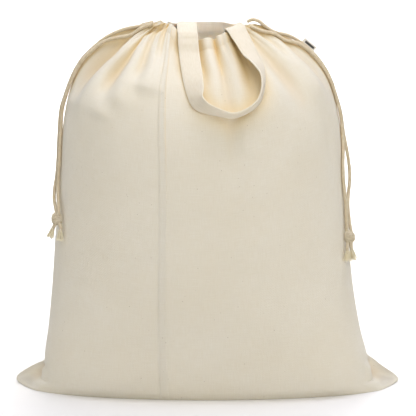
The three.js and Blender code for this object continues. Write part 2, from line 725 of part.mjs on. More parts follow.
// One tied knot: core, wraps, the stubs that meet the strands, and the tails with their fray
function knotGeometry(at, routes, tails) {
  const core = new THREE.SphereGeometry(1, 9, 6);
  core.scale(knotCore.across, knotCore.deep, knotCore.tall);
  core.translate(at.x, at.y, at.z);
  const pieces = [core];
  for (const wrap of knotWraps) {
    const ring = new THREE.TorusGeometry(wrap.radius, knotWrapThick / 2, 6, 11);
    ring.rotateX(THREE.MathUtils.degToRad(wrap.turnX));
    ring.rotateY(THREE.MathUtils.degToRad(wrap.turnY));
    ring.translate(at.x, at.y, at.z + wrap.up);
    pieces.push(ring);
  }
  for (const route of routes) {
    const curve = new THREE.CatmullRomCurve3(route.map(vectorOf));
    const on = curve.getTangent(1);
    const from = curve.getPoint(1).addScaledVector(on, sewnGap + 0.05);
    const bend = from.clone().addScaledVector(on, 5);
    pieces.push(roundLength([from, bend], cordThick, cordSides, 1));
    pieces.push(roundLength([from.clone().addScaledVector(on, 3), vectorOf(at)], cordThick, cordSides, 1));
  }
  for (const tail of tails) {
    const points = tail.map(vectorOf);
    pieces.push(roundLength(points, cordThick, cordSides, tailSteps), ...frayedEnd(points));
  }
  return fromManifold(pieces.map(toManifold).reduce((whole, piece) => whole.add(piece)));
}

const canvas = new THREE.MeshStandardMaterial({ color: '#e6ddc8', roughness: 0.9, metalness: 0 });
const webbing = new THREE.MeshStandardMaterial({ color: '#e8e0cf', roughness: 0.88, metalness: 0 });
const braid = new THREE.MeshStandardMaterial({ color: '#c9b896', roughness: 0.92, metalness: 0 });
const tab = new THREE.MeshStandardMaterial({ color: '#ece8df', roughness: 0.75, metalness: 0 });

function named(name, geometry, material) {
  const mesh = new THREE.Mesh(geometry, material);
  mesh.name = name;
  return mesh;
}

const bag = new THREE.Group();
const [leftPanel, rightPanel] = frontPanels();
bag.add(named('front_panel_left', leftPanel, canvas));
bag.add(named('front_panel_right', rightPanel, canvas));
const backColumns = evenColumns(0, 1, columnsBack).map((acrossAt) => clothColumn(back, acrossAt));
bag.add(named('back_panel', clothPanel(backColumns), canvas));
bag.add(named('handle_strap', strapGeometry(), webbing));

const sides = [
  { side: 'left', outer: routeLeftOuter, inner: routeLeftInner, at: knotLeftAt, tails: tailsLeft },
  { side: 'right', outer: routeRightOuter, inner: routeRightInner, at: knotRightAt, tails: tailsRight },
];
for (const { side, outer, inner, at, tails } of sides) {
  for (const [place, route] of [['outer', outer], ['inner', inner]]) {
    const tube = roundLength(route.map(vectorOf), cordThick, cordSides, cordSteps);
    bag.add(named(`drawcord_${side}_${place}`, welded(tube), braid));
  }
  bag.add(named(`knot_${side}`, knotGeometry(at, [outer, inner], tails), braid));
}

const label = named('side_label', new THREE.BoxGeometry(labelLong, labelThick, labelWide), tab);
label.position.copy(vectorOf(labelAt));
label.rotation.y = THREE.MathUtils.degToRad(labelTurn);
bag.add(label);

export default bag;
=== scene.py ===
"""A cotton canvas drawstring laundry bag: cloth panels, strap, drawcords, knots, label and stitching."""

import math

import bpy
import numpy as np
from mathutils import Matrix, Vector


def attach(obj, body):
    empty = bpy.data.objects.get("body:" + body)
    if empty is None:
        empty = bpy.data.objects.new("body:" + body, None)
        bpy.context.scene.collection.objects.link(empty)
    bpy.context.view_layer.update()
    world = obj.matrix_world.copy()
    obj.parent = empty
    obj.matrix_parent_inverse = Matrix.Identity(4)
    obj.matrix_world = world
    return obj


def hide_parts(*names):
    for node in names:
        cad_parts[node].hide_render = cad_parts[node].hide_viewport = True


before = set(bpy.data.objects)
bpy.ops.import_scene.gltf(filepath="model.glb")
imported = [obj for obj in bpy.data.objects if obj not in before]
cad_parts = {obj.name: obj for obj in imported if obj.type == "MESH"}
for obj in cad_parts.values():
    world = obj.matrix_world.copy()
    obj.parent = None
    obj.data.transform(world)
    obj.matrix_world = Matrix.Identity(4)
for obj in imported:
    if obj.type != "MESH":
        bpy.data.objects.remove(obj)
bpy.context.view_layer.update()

bl_info = {
    "name": "Canvas laundry bag",
    "version": (1, 0, 0),
    "blender": (4, 5, 0),
    "location": "3D View > Sidebar > Laundry bag",
    "description": "Builds a standing drawstring laundry bag of cotton canvas",
    "category": "Add Mesh",
}

MM = 0.001


def table(columns, rows):
    """Rows of values, each under the names of its columns."""
    return [dict(zip(columns, row)) for row in rows]


# Lengths in these tables are millimetres, and places across a panel are shares of its width

# Cloth: DRAWN_THICK is how far the outside stays off the seams' plane where the neck is drawn in,
# and INNER_CLEAR is how far the inside lies from the outside low down
PANEL_WIDE = 711.0
CLOTH_THICK = 2.0
HEM_THICK = 3.2
HEM_DEEP = 20.0
HEM_EDGE = (18, 28)
DRAWN_THICK = 1.4
INNER_CLEAR = 2.2
SEAM_GAP = 0.04

# The felled seam between the front panels: its place, width, the gap beside it, and how far its
# band stands proud of the cloth and over the edge below it
FELLED_AT = 0.418
FELLED_WIDE = 11.0
FELLED_EDGE = 0.9
FELLED_PROUD = 1.0
FELLED_GAP = 0.06

# Sections of the bag from the rim down: distance down the cloth, reach to the left and right with
# their heights, reach forwards and backwards with their heights, and how square the section is
SECTION_COLUMNS = ("down", "left", "right", "left_z", "right_z",
                   "front", "front_z", "back", "back_z", "square")
SECTIONS = table(SECTION_COLUMNS, (
    (0, -107, 84, 664, 660, 38, 637, 50, 660, 2),
    (20, -126, 103, 658, 654, 49, 619, 51, 641, 2),
    (45, -149, 127, 649, 644, 69, 604, 58, 617.5, 2),
    (75, -176, 156, 636, 629, 94, 586, 80, 597.5, 2),
    (110, -206, 184, 612, 606, 119, 562, 109, 577, 2),
    (150, -232, 209, 581, 575, 142, 529, 136, 547, 2),
    (200, -250, 226, 536, 534, 159, 484, 156, 500.5, 2),
    (260, -261, 238, 480, 479, 169, 428, 169, 442, 2),
    (340, -267, 245, 402, 401, 175, 354, 176, 364, 2),
    (440, -276, 254, 300, 299, 178, 262, 179, 266, 2.05),
    (540, -284, 264, 190, 189, 174, 164, 175, 165, 2.2),
    (600, -292, 278, 108, 107, 159, 100, 160, 100, 2.6),
    (642, -299, 291, 58, 58, 150, 58, 151, 58, 3),
    (678, -299, 295, 22, 22, 141, 22, 142, 22, 3.2),
    (700, -299, 297, 0, 0, 128, 0, 128, 0, 3.3),
))
FLOOR_DOWN = SECTIONS[-1]["down"]
LAID_DOWN = 642.0

# How the cloth is shared out round the neck: share across the panel, and the turn from the left
# seam in degrees; lower down it is shared out evenly
SPREAD_COLUMNS = ("across", "turn")
NECK_SPREAD = {
    "front": table(SPREAD_COLUMNS, (
        (0, 0), (0.12, 34), (0.24, 45), (0.33, 50), (0.418, 56), (0.5, 81), (0.56, 103), (0.64, 123),
        (0.75, 138), (0.87, 153), (1, 180),
    )),
    "back": table(SPREAD_COLUMNS, (
        (0, 0), (0.15, 33), (0.32, 52), (0.43, 77), (0.57, 129), (0.7, 142), (0.86, 156), (1, 180),
    )),
}
NECK_SPREAD_REACH = 85.0

# How far the front and back are drawn in towards the seams at the neck, more so at the left
PINCH_POWER = 2.4
PINCH_REACH = 95.0
PINCH_POWER_LEFT = 5.0
PINCHED_LEFT = dict(start=38, full=48, until=56, gone=68)

# Half the span over which the cloth's outward direction is measured
OUTWARD_ACROSS = 0.004
OUTWARD_DOWN = 2.0

# Folds that run down from the gathered rim: share across at the rim and at the foot of the fold,
# reach down, half width at the rim and on the shoulder, depth at the rim and on the shoulder
FOLD_COLUMNS = ("at", "to", "reach", "start", "wide", "rim", "deep")
FOLDS = {
    "front": table(FOLD_COLUMNS, (
        (0.09, 0.085, 245, 17, 34, 4, 22),
        (0.19, 0.235, 225, 17, 22, 4, 17),
        (0.28, 0.335, 165, 17, 20, 4, 10),
        (0.37, 0.39, 90, 17, 18, 5, 6),
        (0.455, 0.465, 120, 12, 15, 5, 6),
        (0.515, 0.52, 130, 8, 12, 7, 7),
        (0.563, 0.575, 330, 7, 14, 9, 8),
        (0.643, 0.64, 180, 10, 20, 8, 11),
        (0.72, 0.79, 235, 17, 26, 6, 14),
        (0.81, 0.85, 120, 17, 18, 5, 7),
        (0.9, 0.925, 230, 17, 24, 4, 9),
    )),
    "back": table(FOLD_COLUMNS, (
        (0.09, 0.1, 210, 17, 26, 4, 12),
        (0.18, 0.22, 260, 17, 26, 4, 15),
        (0.27, 0.3, 130, 17, 18, 5, 8),
        (0.355, 0.385, 230, 17, 22, 6, 11),
        (0.44, 0.46, 110, 17, 18, 3, 5),
        (0.56, 0.545, 150, 17, 18, 3, 6),
        (0.645, 0.62, 250, 17, 24, 7, 13),
        (0.73, 0.715, 120, 17, 18, 5, 8),
        (0.82, 0.79, 270, 17, 28, 5, 16),
        (0.91, 0.9, 190, 17, 24, 4, 10),
    )),
}

# Distance down over which a fold goes from its start at the rim to its form on the shoulder, and
# the cloth beside a side seam in which folds and creases die out
FOLD_OPENS = (15, 100)
FOLD_FADES_FROM = 0.5
FOLD_SEAM_CALM = 40.0
CREASE_SEAM_CALM = 25.0

# Swells where a lobe between two folds ends over the fuller body
SWELL_COLUMNS = ("across", "down", "wide", "above", "below", "high")
SWELLS = {
    "front": table(SWELL_COLUMNS, (
        (0.07, 205, 24, 60, 15, 6),
        (0.15, 198, 34, 60, 18, 7),
        (0.232, 197, 26, 50, 13, 10),
        (0.285, 160, 22, 40, 18, 6),
        (0.345, 126, 32, 40, 12, 8),
        (0.4, 124, 20, 36, 12, 4),
        (0.6, 236, 18, 60, 14, 5),
        (0.7, 150, 50, 70, 45, 4),
        (0.86, 165, 34, 60, 30, 5),
    )),
    "back": table(SWELL_COLUMNS, (
        (0.16, 190, 36, 60, 40, 5),
        (0.5, 170, 70, 70, 60, 5),
        (0.86, 180, 36, 60, 40, 5),
    )),
}

# Shape of every crease, as shares of its length or of its half width
CREASE_BOW = 0.35
CREASE_FADE = 0.75
CREASE_FADE_FROM = 0.35
CREASE_START_WIDE = 0.8
CREASE_END_WIDE = 1.3
CREASE_END_LONG = 2.2

# Creases: from and to as share across and distance down, half width, and height of the ridge,
# which is below nothing for a trough
CREASE_COLUMNS = ("across", "down", "to_across", "to_down", "wide", "high")
CREASES = {
    "front": table(CREASE_COLUMNS, (
        (0.03, 30, 0.05, 110, 7, -1.6),
        (0.06, 5, 0.075, 90, 6, 1.4),
        (0.33, 14, 0.1, 66, 13, -5.0),
        (0.145, 8, 0.17, 120, 7, -2.2),
        (0.165, 5, 0.2, 105, 6, 1.8),
        (0.225, 6, 0.265, 90, 5, -1.8),
        (0.255, 5, 0.3, 100, 7, 1.6),
        (0.315, 5, 0.35, 70, 5, -1.5),
        (0.34, 5, 0.365, 100, 6, 1.4),
        (0.4, 20, 0.4, 110, 6, 1.2),
        (0.435, 5, 0.44, 60, 5, -1.4),
        (0.487, 6, 0.49, 100, 8, 1.6),
        (0.512, 0, 0.519, 100, 4, -4.0),
        (0.54, 6, 0.545, 110, 8, 1.8),
        (0.562, 0, 0.566, 150, 4, -4.0),
        (0.59, 5, 0.6, 70, 5, -1.4),
        (0.605, 6, 0.61, 120, 8, 1.5),
        (0.628, 0, 0.634, 90, 4, -3.4),
        (0.665, 5, 0.69, 100, 6, 1.6),
        (0.69, 5, 0.72, 80, 5, -1.6),
        (0.745, 5, 0.8, 110, 6, -1.5),
        (0.775, 5, 0.82, 100, 6, 1.5),
        (0.845, 5, 0.885, 100, 5, -1.5),
        (0.87, 5, 0.9, 110, 7, 1.5),
        (0.95, 10, 0.955, 120, 6, -1.4),
        (0.1, 235, 0.075, 330, 16, 1.4),
        (0.2, 250, 0.185, 360, 18, -1.6),
        (0.3, 255, 0.31, 380, 22, 1.2),
        (0.585, 300, 0.62, 430, 16, -1.3),
        (0.72, 250, 0.7, 400, 24, 1.4),
        (0.86, 260, 0.89, 390, 18, -1.6),
        (0.93, 240, 0.95, 340, 14, 1.2),
        (0.06, 480, 0.12, 610, 20, -1.4),
        (0.25, 520, 0.33, 640, 22, 1.2),
        (0.62, 500, 0.56, 630, 24, -1.2),
        (0.87, 500, 0.8, 625, 22, 1.3),
        (0.95, 470, 0.93, 600, 16, -1.4),
    )),
    "back": table(CREASE_COLUMNS, (
        (0.04, 10, 0.05, 120, 7, -1.6),
        (0.13, 5, 0.15, 110, 7, 1.6),
        (0.215, 5, 0.245, 120, 6, -1.7),
        (0.24, 5, 0.27, 90, 6, 1.5),
        (0.31, 5, 0.33, 110, 6, 1.5),
        (0.33, 5, 0.355, 90, 5, -1.5),
        (0.4, 5, 0.415, 120, 8, 1.5),
        (0.48, 8, 0.48, 110, 9, -1.2),
        (0.52, 6, 0.515, 130, 9, 1.4),
        (0.6, 5, 0.585, 100, 7, 1.5),
        (0.68, 5, 0.665, 90, 6, -1.6),
        (0.7, 5, 0.685, 120, 7, 1.5),
        (0.775, 5, 0.755, 110, 6, -1.6),
        (0.8, 5, 0.775, 90, 6, 1.5),
        (0.87, 5, 0.855, 110, 6, 1.5),
        (0.955, 10, 0.95, 120, 6, -1.5),
        (0.15, 260, 0.12, 400, 20, -1.6),
        (0.36, 240, 0.4, 420, 22, 1.5),
        (0.55, 270, 0.58, 430, 18, -1.5),
        (0.78, 270, 0.82, 400, 22, 1.4),
        (0.2, 500, 0.27, 640, 24, 1.3),
        (0.5, 520, 0.46, 640, 22, -1.3),
        (0.8, 500, 0.72, 630, 24, 1.4),
    )),
}

# Relief of the sewing: middle of the hump, half width and height
CASING_PUFF = dict(at=10, wide=6.5, high=0.9)
CASING_STITCHED = dict(at=HEM_DEEP, wide=2.2, high=-0.8)
SEAM_DIP = dict(at=0, wide=2.5, high=-0.7)
SEAM_PUFF = dict(at=8, wide=4, high=0.35)

# The sewn edge of the ears at the bottom corners
EAR_EDGE = table(("height", "left", "right"), (
    (0, -351, 349),
    (5, -354, 352),
    (14, -350, 345),
    (30, -326, 322),
    (44, -300, 305),
    (58, -290, 289),
))

# An ear: its width and thickness, its hollow above the floor and its belly on it, how far the body
# swells out beside it and how far it is tucked in behind, and the heights and reaches over which
# it curls; the painted shade on it is marked as fold depth, so that the canvas colour darkens there
EAR_ACROSS = 0.085
EAR_THICK = 2.4
EAR_HOLLOW = 0.45
EAR_BELLY = 16.0
EAR_SWELL = 32.0
EAR_NARROW = 0.62
EAR_TUCK = 20.0
EAR_CURL_HIGH = (3, 20)
EAR_CURL_PROUD = (0, 16)
EAR_PROUD = (0, 10)
EAR_SHADE = dict(at=0.42, wide=0.3, high=-17)

# The foot: how the cloth rolls onto the floor, how its outline is drawn out to the tips, and how
# far creases and the inside skin keep from the floor and the ears
ROLL_ACROSS = (0.6 * EAR_ACROSS, 1.7 * EAR_ACROSS)
ROLL_HIGH_TIP = 5.0
ROLL_HIGH = 18.0
SETTLE_HIGH = 50.0
DRAWN_OUT_ACROSS = 0.25
OUTLINE_BLUNT = 0.45
OUTLINE_TIP = 0.1
OUTLINE_TIP_BLUNT = 0.3
CREASE_FLOOR_CALM = (8, 50)
CREASE_EAR_CALM = (25, 70)
INSET_TURN_ACROSS = 0.3
INSET_AT_TIP = 1.6

SIDE = {"front": -1.0, "back": 1.0}


def read_column(rows, key, column, at):
    """Values of a table's column between its rows, on a smooth curve through them."""
    keys = np.array([row[key] for row in rows], float)
    values = np.array([row[column] for row in rows], float)
    at = np.asarray(at, float)
    last = len(keys) - 1
    low = np.maximum(np.arange(last + 1) - 1, 0)
    high = np.minimum(np.arange(last + 1) + 1, last)
    slope = (values[high] - values[low]) / (keys[high] - keys[low])
    span = np.searchsorted(keys[1:last], at, side="left")
    length = keys[span + 1] - keys[span]
    t = np.clip((at - keys[span]) / length, 0, 1)
    return ((2 * t**3 - 3 * t**2 + 1) * values[span] + (t**3 - 2 * t**2 + t) * slope[span] * length
            + (3 * t**2 - 2 * t**3) * values[span + 1] + (t**3 - t**2) * slope[span + 1] * length)


def read_section(column, down):
    return read_column(SECTIONS, "down", column, down)


def ease(start, end, value):
    t = np.clip((np.asarray(value, float) - start) / (end - start), 0, 1)
    return t * t * (3 - 2 * t)


def mix(a, b, share):
    return a + (b - a) * share


def hump(value, at, wide, high):
    """A soft hump of a height and half width with its middle at a value."""
    return high * np.exp(-(((value - at) / wide) ** 2))


def unit(vectors):
    return vectors / np.linalg.norm(vectors, axis=-1, keepdims=True)


def seam_distance(across):
    """Flat cloth to the nearer side seam, in millimetres."""
    return np.minimum(across, 1 - across) * PANEL_WIDE


def form_points(face, across, down):
    """The bag's smooth form, before its folds, for arrays of places on the cloth."""
    gathered = read_column(NECK_SPREAD[face], "across", "turn", across)
    turn = np.radians(mix(180 * across, gathered, np.exp(-down / NECK_SPREAD_REACH)))
    left = read_section("left", down)
    right = read_section("right", down)
    side_z = np.where(across < 0.5, read_section("left_z", down), read_section("right_z", down))
    square = read_section("square", down)
    rounded = np.maximum(1 - np.abs(np.cos(turn)) ** square, 0) ** (1 / square)
    power = PINCH_POWER
    if face == "front":
        degrees = np.degrees(turn)
        close = (ease(PINCHED_LEFT["start"], PINCHED_LEFT["full"], degrees)
                 * (1 - ease(PINCHED_LEFT["until"], PINCHED_LEFT["gone"], degrees)))
        power = mix(PINCH_POWER, PINCH_POWER_LEFT, close)
    bulge = rounded ** mix(power, 1, ease(0, PINCH_REACH, down))
    return np.stack([
        (left + right) / 2 - ((right - left) / 2) * np.cos(turn),
        SIDE[face] * (SEAM_GAP / 2 + read_section(face, down) * bulge),
        mix(side_z, read_section(face + "_z", down), bulge**2),
    ], axis=-1)


def outward_at(face, across, down):
    """Directions out of the cloth, square to its smooth form."""
    before = form_points(face, np.maximum(across - OUTWARD_ACROSS, 0), down)
    after = form_points(face, np.minimum(across + OUTWARD_ACROSS, 1), down)
    above = form_points(face, across, np.maximum(down - OUTWARD_DOWN, 0))
    below = form_points(face, across, down + OUTWARD_DOWN)
    outward = np.cross(after - before, below - above) * SIDE[face]
    at_seam = (across <= 0) | (across >= 1)
    outward[..., 1] = np.where(at_seam, 0, outward[..., 1])
    return unit(outward)


def crease_height(face, across, down):
    """Soft ridges and troughs that bow a little and fade towards their ends."""
    height = np.zeros(np.broadcast(across, down).shape)
    for crease in CREASES[face]:
        start = np.array([crease["across"] * PANEL_WIDE, crease["down"]])
        run = np.array([crease["to_across"] * PANEL_WIDE, crease["to_down"]]) - start
        length = np.linalg.norm(run)
        x, y = across * PANEL_WIDE - start[0], down - start[1]
        along = (x * run[0] + y * run[1]) / length**2
        within = np.clip(along, 0, 1)
        bow = CREASE_BOW * crease["wide"] * np.sin(within * math.pi)
        aside = (x * run[1] - y * run[0]) / length + bow
        beyond = np.maximum(np.maximum(-along, along - 1), 0) * length
        high = crease["high"] * (1 - CREASE_FADE * ease(CREASE_FADE_FROM, 1, along))
        wide = crease["wide"] * mix(CREASE_START_WIDE, CREASE_END_WIDE, within)
        height += hump(aside, 0, wide, high) * hump(beyond, 0, CREASE_END_LONG * crease["wide"], 1)
    return height


def fold_height(face, across, down):
    """The deep folds from the rim and the swells between them."""
    height = np.zeros(np.broadcast(across, down).shape)
    opened = ease(*FOLD_OPENS, down)
    for fold in FOLDS[face]:
        middle = mix(fold["at"], fold["to"], np.minimum(down / fold["reach"], 1))
        wide = mix(fold["start"], fold["wide"], opened)
        deep = mix(fold["rim"], fold["deep"], opened)
        deep = deep * (1 - ease(FOLD_FADES_FROM * fold["reach"], fold["reach"], down))
        height -= hump((across - middle) * PANEL_WIDE, 0, wide, deep)
    for swell in SWELLS[face]:
        away = down - swell["down"]
        long = np.where(away < 0, swell["above"], swell["below"])
        aside = (across - swell["across"]) * PANEL_WIDE
        height += hump(aside, 0, swell["wide"], swell["high"]) * hump(away, 0, long, 1)
    return height * ease(0, FOLD_SEAM_CALM, seam_distance(across))


def sewn_relief(across, down):
    """Low relief of the sewing at the casing and along the side seams."""
    from_seam = seam_distance(across)
    return (hump(down, **CASING_PUFF) + hump(down, **CASING_STITCHED)
            + hump(from_seam, **SEAM_DIP) + hump(from_seam, **SEAM_PUFF))


def keep_on_side(points, face, least):
    points[..., 1] = SIDE[face] * np.maximum(SIDE[face] * points[..., 1], SEAM_GAP / 2 + least)
    return points


def upper_points(face, across, down, band):
    """The cloth from the rim down, outside and inside, with its fold depths."""
    outward = outward_at(face, across, down)
    fold = fold_height(face, across, down)
    crease = crease_height(face, across, down) * ease(0, CREASE_SEAM_CALM, seam_distance(across))
    outer = form_points(face, across, down) + outward * (fold + crease)[..., None]
    thick = mix(HEM_THICK, CLOTH_THICK, ease(*HEM_EDGE, down))
    relief = sewn_relief(across, down)
    inner = outer + outward * mix(-thick, relief + FELLED_GAP, band)[..., None]
    outer = outer + outward * (relief + FELLED_PROUD * band)[..., None]
    inner = keep_on_side(inner, face, 0)
    middle = ((across > 0) & (across < 1))[..., None]
    outer = np.where(middle, keep_on_side(outer.copy(), face, DRAWN_THICK), outer)
    return outer, inner, fold + crease


def floor_reach(face, x):
    """How far forwards or backwards the bag's outline on the floor reaches."""
    tip = np.where(x < 0, EAR_EDGE[0]["left"], EAR_EDGE[0]["right"])
    aside = np.clip(x / tip, 0, 1)
    taper = np.minimum((1 - aside) / OUTLINE_TIP, 1) ** OUTLINE_TIP_BLUNT
    return SECTIONS[-1][face] * (1 - aside**2) ** OUTLINE_BLUNT * taper


def body_points(face, across, height):
    """The body near the floor, which settles onto the outline there."""
    body = form_points(face, across, FLOOR_DOWN - height)
    on_floor = form_points(face, across, np.full_like(height, FLOOR_DOWN))
    seam_x = form_points(face, np.round(across), np.full_like(height, FLOOR_DOWN))[..., 0]
    from_seam = np.minimum(across, 1 - across)
    tip_x = np.where(across < 0.5, EAR_EDGE[0]["left"], EAR_EDGE[0]["right"])
    foot_x = on_floor[..., 0] + (tip_x - seam_x) * np.maximum(1 - from_seam / DRAWN_OUT_ACROSS, 0) ** 2
    foot_y = SIDE[face] * (floor_reach(face, foot_x) + SEAM_GAP / 2)
    roll = mix(ROLL_HIGH_TIP, ROLL_HIGH, np.minimum(from_seam / EAR_ACROSS, 1))
    rolled = np.sqrt(1 - np.minimum(height / roll, 1) ** 2)
    settled = (1 - np.minimum(height / SETTLE_HIGH, 1)) ** 2
    low = mix(rolled, settled, ease(*ROLL_ACROSS, from_seam))
    body[..., 0] += (foot_x - on_floor[..., 0]) * low
    body[..., 1] += (foot_y - on_floor[..., 1]) * low
    return body


def ear_points(face, across, height, body):
    """The ear at a bottom corner: cloth on a curve from its sewn edge to the corner of the body."""
    on_left = across < 0.5
    along = (np.where(on_left, across, 1 - across) / EAR_ACROSS)[..., None]
    root = body_points(face, np.where(on_left, EAR_ACROSS, 1 - EAR_ACROSS), height)
    edge = form_points(face, np.round(across), FLOOR_DOWN - height)
    sewn_x = np.where(on_left, *(read_column(EAR_EDGE, "height", way, height) for way in ("left", "right")))
    proud = np.maximum(np.abs(sewn_x) - np.abs(edge[..., 0]), 0)
    outward = np.sign(sewn_x)
    tip, flat = edge.copy(), edge.copy()
    tip[..., 0] = outward * (np.abs(edge[..., 0]) + proud)
    flat[..., 1] = SIDE[face] * EAR_THICK
    rolled = ease(0, ROLL_HIGH, height)
    hinge = mix(mix(tip, root, 0.5), flat, (EAR_HOLLOW * rolled)[..., None])
    hinge[..., 1] += SIDE[face] * EAR_BELLY * (1 - rolled)
    # Above the floor the body's side swells out past its corner, and the flap is tucked in behind it
    tucked, swollen = flat.copy(), root.copy()
    tucked[..., 0] -= outward * EAR_TUCK
    swollen[..., 0] += outward * EAR_SWELL
    swollen[..., 1] *= EAR_NARROW
    curled = (ease(*EAR_CURL_HIGH, height) * ease(*EAR_CURL_PROUD, proud))[..., None]
    near_tip = mix(mix(tip, hinge, 2 / 3), tucked, curled)
    near_root = mix(mix(root, hinge, 2 / 3), swollen, curled)
    flap = ((1 - along) ** 3 * tip + 3 * along * (1 - along) ** 2 * near_tip
            + 3 * along**2 * (1 - along) * near_root + along**3 * root)
    # Painted shade on the curled flap, carried into the canvas colour as fold depth
    shade = curled[..., 0] * hump(along[..., 0], **EAR_SHADE)
    return mix(body, flap, ease(*EAR_PROUD, proud)[..., None]), shade


def lower_points(face, across, height, band):
    """The cloth from there to the floor, outside and inside, with its fold depths, which on the ears are
    painted shade.
    """
    from_seam = np.minimum(across, 1 - across)
    body = body_points(face, across, height)
    in_ear = from_seam < EAR_ACROSS
    ear, shade = ear_points(face, across, height, body)
    outer = np.where(in_ear[..., None], ear, body)
    calm = ease(*CREASE_EAR_CALM, seam_distance(across)) * ease(*CREASE_FLOOR_CALM, height)
    crease = crease_height(face, across, FLOOR_DOWN - height) * calm
    outer[..., 1] += SIDE[face] * crease
    inner = outer.copy()
    turn = (math.pi / 2) * (1 - (1 - np.minimum(from_seam / INSET_TURN_ACROSS, 1)) ** 3)
    inward = np.where(across < 0.5, 1, -1) * mix(INSET_AT_TIP, 1, np.minimum(from_seam / EAR_ACROSS, 1))
    inner[..., 0] += np.cos(turn) * INNER_CLEAR * inward
    inner[..., 1] += SIDE[face] * mix(-np.sin(turn) * INNER_CLEAR, FELLED_GAP, band)
    outer[..., 1] += SIDE[face] * FELLED_PROUD * band
    inner = keep_on_side(inner, face, 0)
    inner[..., 2] = height + CLOTH_THICK * np.maximum(1 - height / ROLL_HIGH, 0)
    return outer, inner, np.where(in_ear, shade, crease)


# The handle strap: its mesh's rows for each station and points across a face, its crown, and the
# stations from each end over which it lies flat
STRAP_WIDE = 36.0
STRAP_THICK = 3.0
STRAP_STEPS = 9
STRAP_ACROSS = 11
STRAP_CROWN = 0.5
STRAP_CALM = 5

# Stations of the strap's middle line, each with the turn of its width in the plane of the front
# and how far the width is lifted forwards, in degrees
FORWARDS = (0, -1, 0.18)
STATION_COLUMNS = ("x", "y", "z", "turn", "lift")
STRAP_STATIONS = table(STATION_COLUMNS, (
    (-38, 45.1, 630, 0, -5),
    (-38, 41.8, 638, 0, -7),
    (-38, 38.2, 646, 0, -10),
    (-38, 33, 653, 0, -13),
    (-38, 26, 658, 0, -14),
    (-38, 15, 660, 0, -10),
    (-38, 2, 658.5, 0, -4),
    (-37.5, -11, 655, 0, 0),
    (-37, -22, 652, -3, 0),
    (-36.5, -32, 648.5, -4, 0),
    (-35.5, -40.5, 643, -3, 0),
    (-35, -48, 633, 0, 0),
    (-33, -62, 613, 0, 2),
    (-28, -104, 584, 3, 12),
    (-22, -139, 557, 12, 32),
    (-17, -156, 540, 36, 44),
    (-2, -165, 529, 62, 60),
    (20, -166, 521, 75, 72),
    (44, -163, 516, 95, 78),
    (68, -160, 524, 105, 80),
    (86, -151, 538, 110, 80),
    (94, -139, 556, 118, 78),
    (95, -124, 577, 140, 74),
    (88, -105, 595, 168, 58),
    (76, -82, 612, 182, 38),
    (64, -58, 631, 187, 34),
    (56, -40, 644, 200, 36),
    (50, -27, 653.3, 210, 40),
    (46, -15.5, 656, 213, 50),
    (42.5, -3, 652, 218, 46),
    (41, 8, 645, 205, 26),
    (42, 19, 639, 190, 8),
    (43.5, 28.5, 636.5, 182, -8),
    (45, 35.4, 632, 180, -13),
    (45, 39.2, 626.5, 180, -11),
    (45, 43.6, 620, 180, -7),
))

# Cross wrinkles on the strap: station along it, half length, height and slant across the width
WRINKLE_COLUMNS = ("station", "long", "high", "slant")
STRAP_WRINKLES = table(WRINKLE_COLUMNS, (
    (9.4, 0.3, 0.5, 0.1),
    (10.6, 0.25, -0.7, -0.15),
    (11.3, 0.2, 0.6, 0.2),
    (11.9, 0.16, -0.8, 0.12),
    (12.4, 0.16, 0.7, -0.1),
    (12.9, 0.14, -0.7, 0.15),
    (13.5, 0.2, 0.5, 0.2),
    (22.4, 0.3, -0.6, -0.2),
    (23.3, 0.25, 0.6, 0.15),
    (24.2, 0.3, -0.6, 0.1),
    (25.2, 0.3, 0.5, -0.1),
))

# Drawcords: two strands at each side, along the shoulder and down to their knot
CORD_THICK = 6.0
CORD_ROUTES = {
    "left_outer": (
        (-98, -6.5, 664.5), (-120, -8, 657.5), (-143.5, -7, 653), (-167, -6, 645), (-188.5, -5.5, 632.5),
        (-207, -5.5, 617), (-224.5, -5.5, 599.5), (-238, -5.5, 579), (-248.7, -5.5, 556),
        (-257, -5.5, 533), (-264.2, -5.5, 510.5), (-267.2, -6.5, 487), (-268.5, -9.5, 464),
        (-269.7, -13.5, 440), (-270.9, -16.5, 414), (-273.2, -20, 388), (-277.2, -25, 362),
        (-277, -33, 345), (-273, -50, 331),
    ),
    "left_inner": (
        (-98, -17, 662.8), (-119.5, -15.7, 653.8), (-137.5, -16, 642), (-161, -16.7, 637.5),
        (-185.5, -16, 630), (-205.3, -15, 615.5), (-222.8, -14.6, 598.5), (-236.2, -14.4, 578.5),
        (-247, -14.4, 555.5), (-255, -14.2, 532.5), (-261.3, -14.2, 510.5), (-263.8, -15.2, 487),
        (-265, -18.5, 464.5), (-266.3, -22.5, 441), (-267.8, -25.5, 415), (-269.6, -29, 388),
        (-270, -37, 362), (-268.8, -46.5, 345), (-267.8, -60, 331),
    ),
    "right_outer": (
        (70, -6, 665), (80, -5.5, 668.5), (91, -5, 665.5), (101, -5, 657.5), (119, -7.5, 646.5),
        (143.3, -7, 640.5), (165, -6, 628.5), (183.5, -5.5, 613.5), (199.7, -5.5, 595.8),
        (213, -5.5, 575.7), (223.3, -5.5, 553.7), (230.6, -5.5, 531), (237.4, -5.5, 509),
        (241.7, -6, 486.5), (244.6, -7, 464.5), (250.3, -9.5, 436), (254.7, -13, 408), (256, -17, 382),
        (253.5, -23.5, 357), (252.3, -31.5, 335), (254.2, -41, 312), (256.3, -48, 297),
    ),
    "right_inner": (
        (76, -14, 657), (95.5, -17, 649.5), (119, -15.4, 643.7), (137.5, -16.5, 633),
        (162.5, -15.6, 626.3), (182.5, -14.7, 612.5), (198.5, -14.5, 595.3), (212, -14.3, 575.3),
        (222.5, -14.2, 553.5), (229.5, -14.2, 531), (236, -14.2, 509), (240.2, -14.6, 486.5),
        (241.8, -20, 464.5), (242.6, -29.5, 440), (242.2, -36.3, 415), (242.8, -41, 388),
        (245, -42.3, 364), (247.4, -43.5, 345), (248.4, -46.5, 322), (249.5, -51, 297),
    ),
}

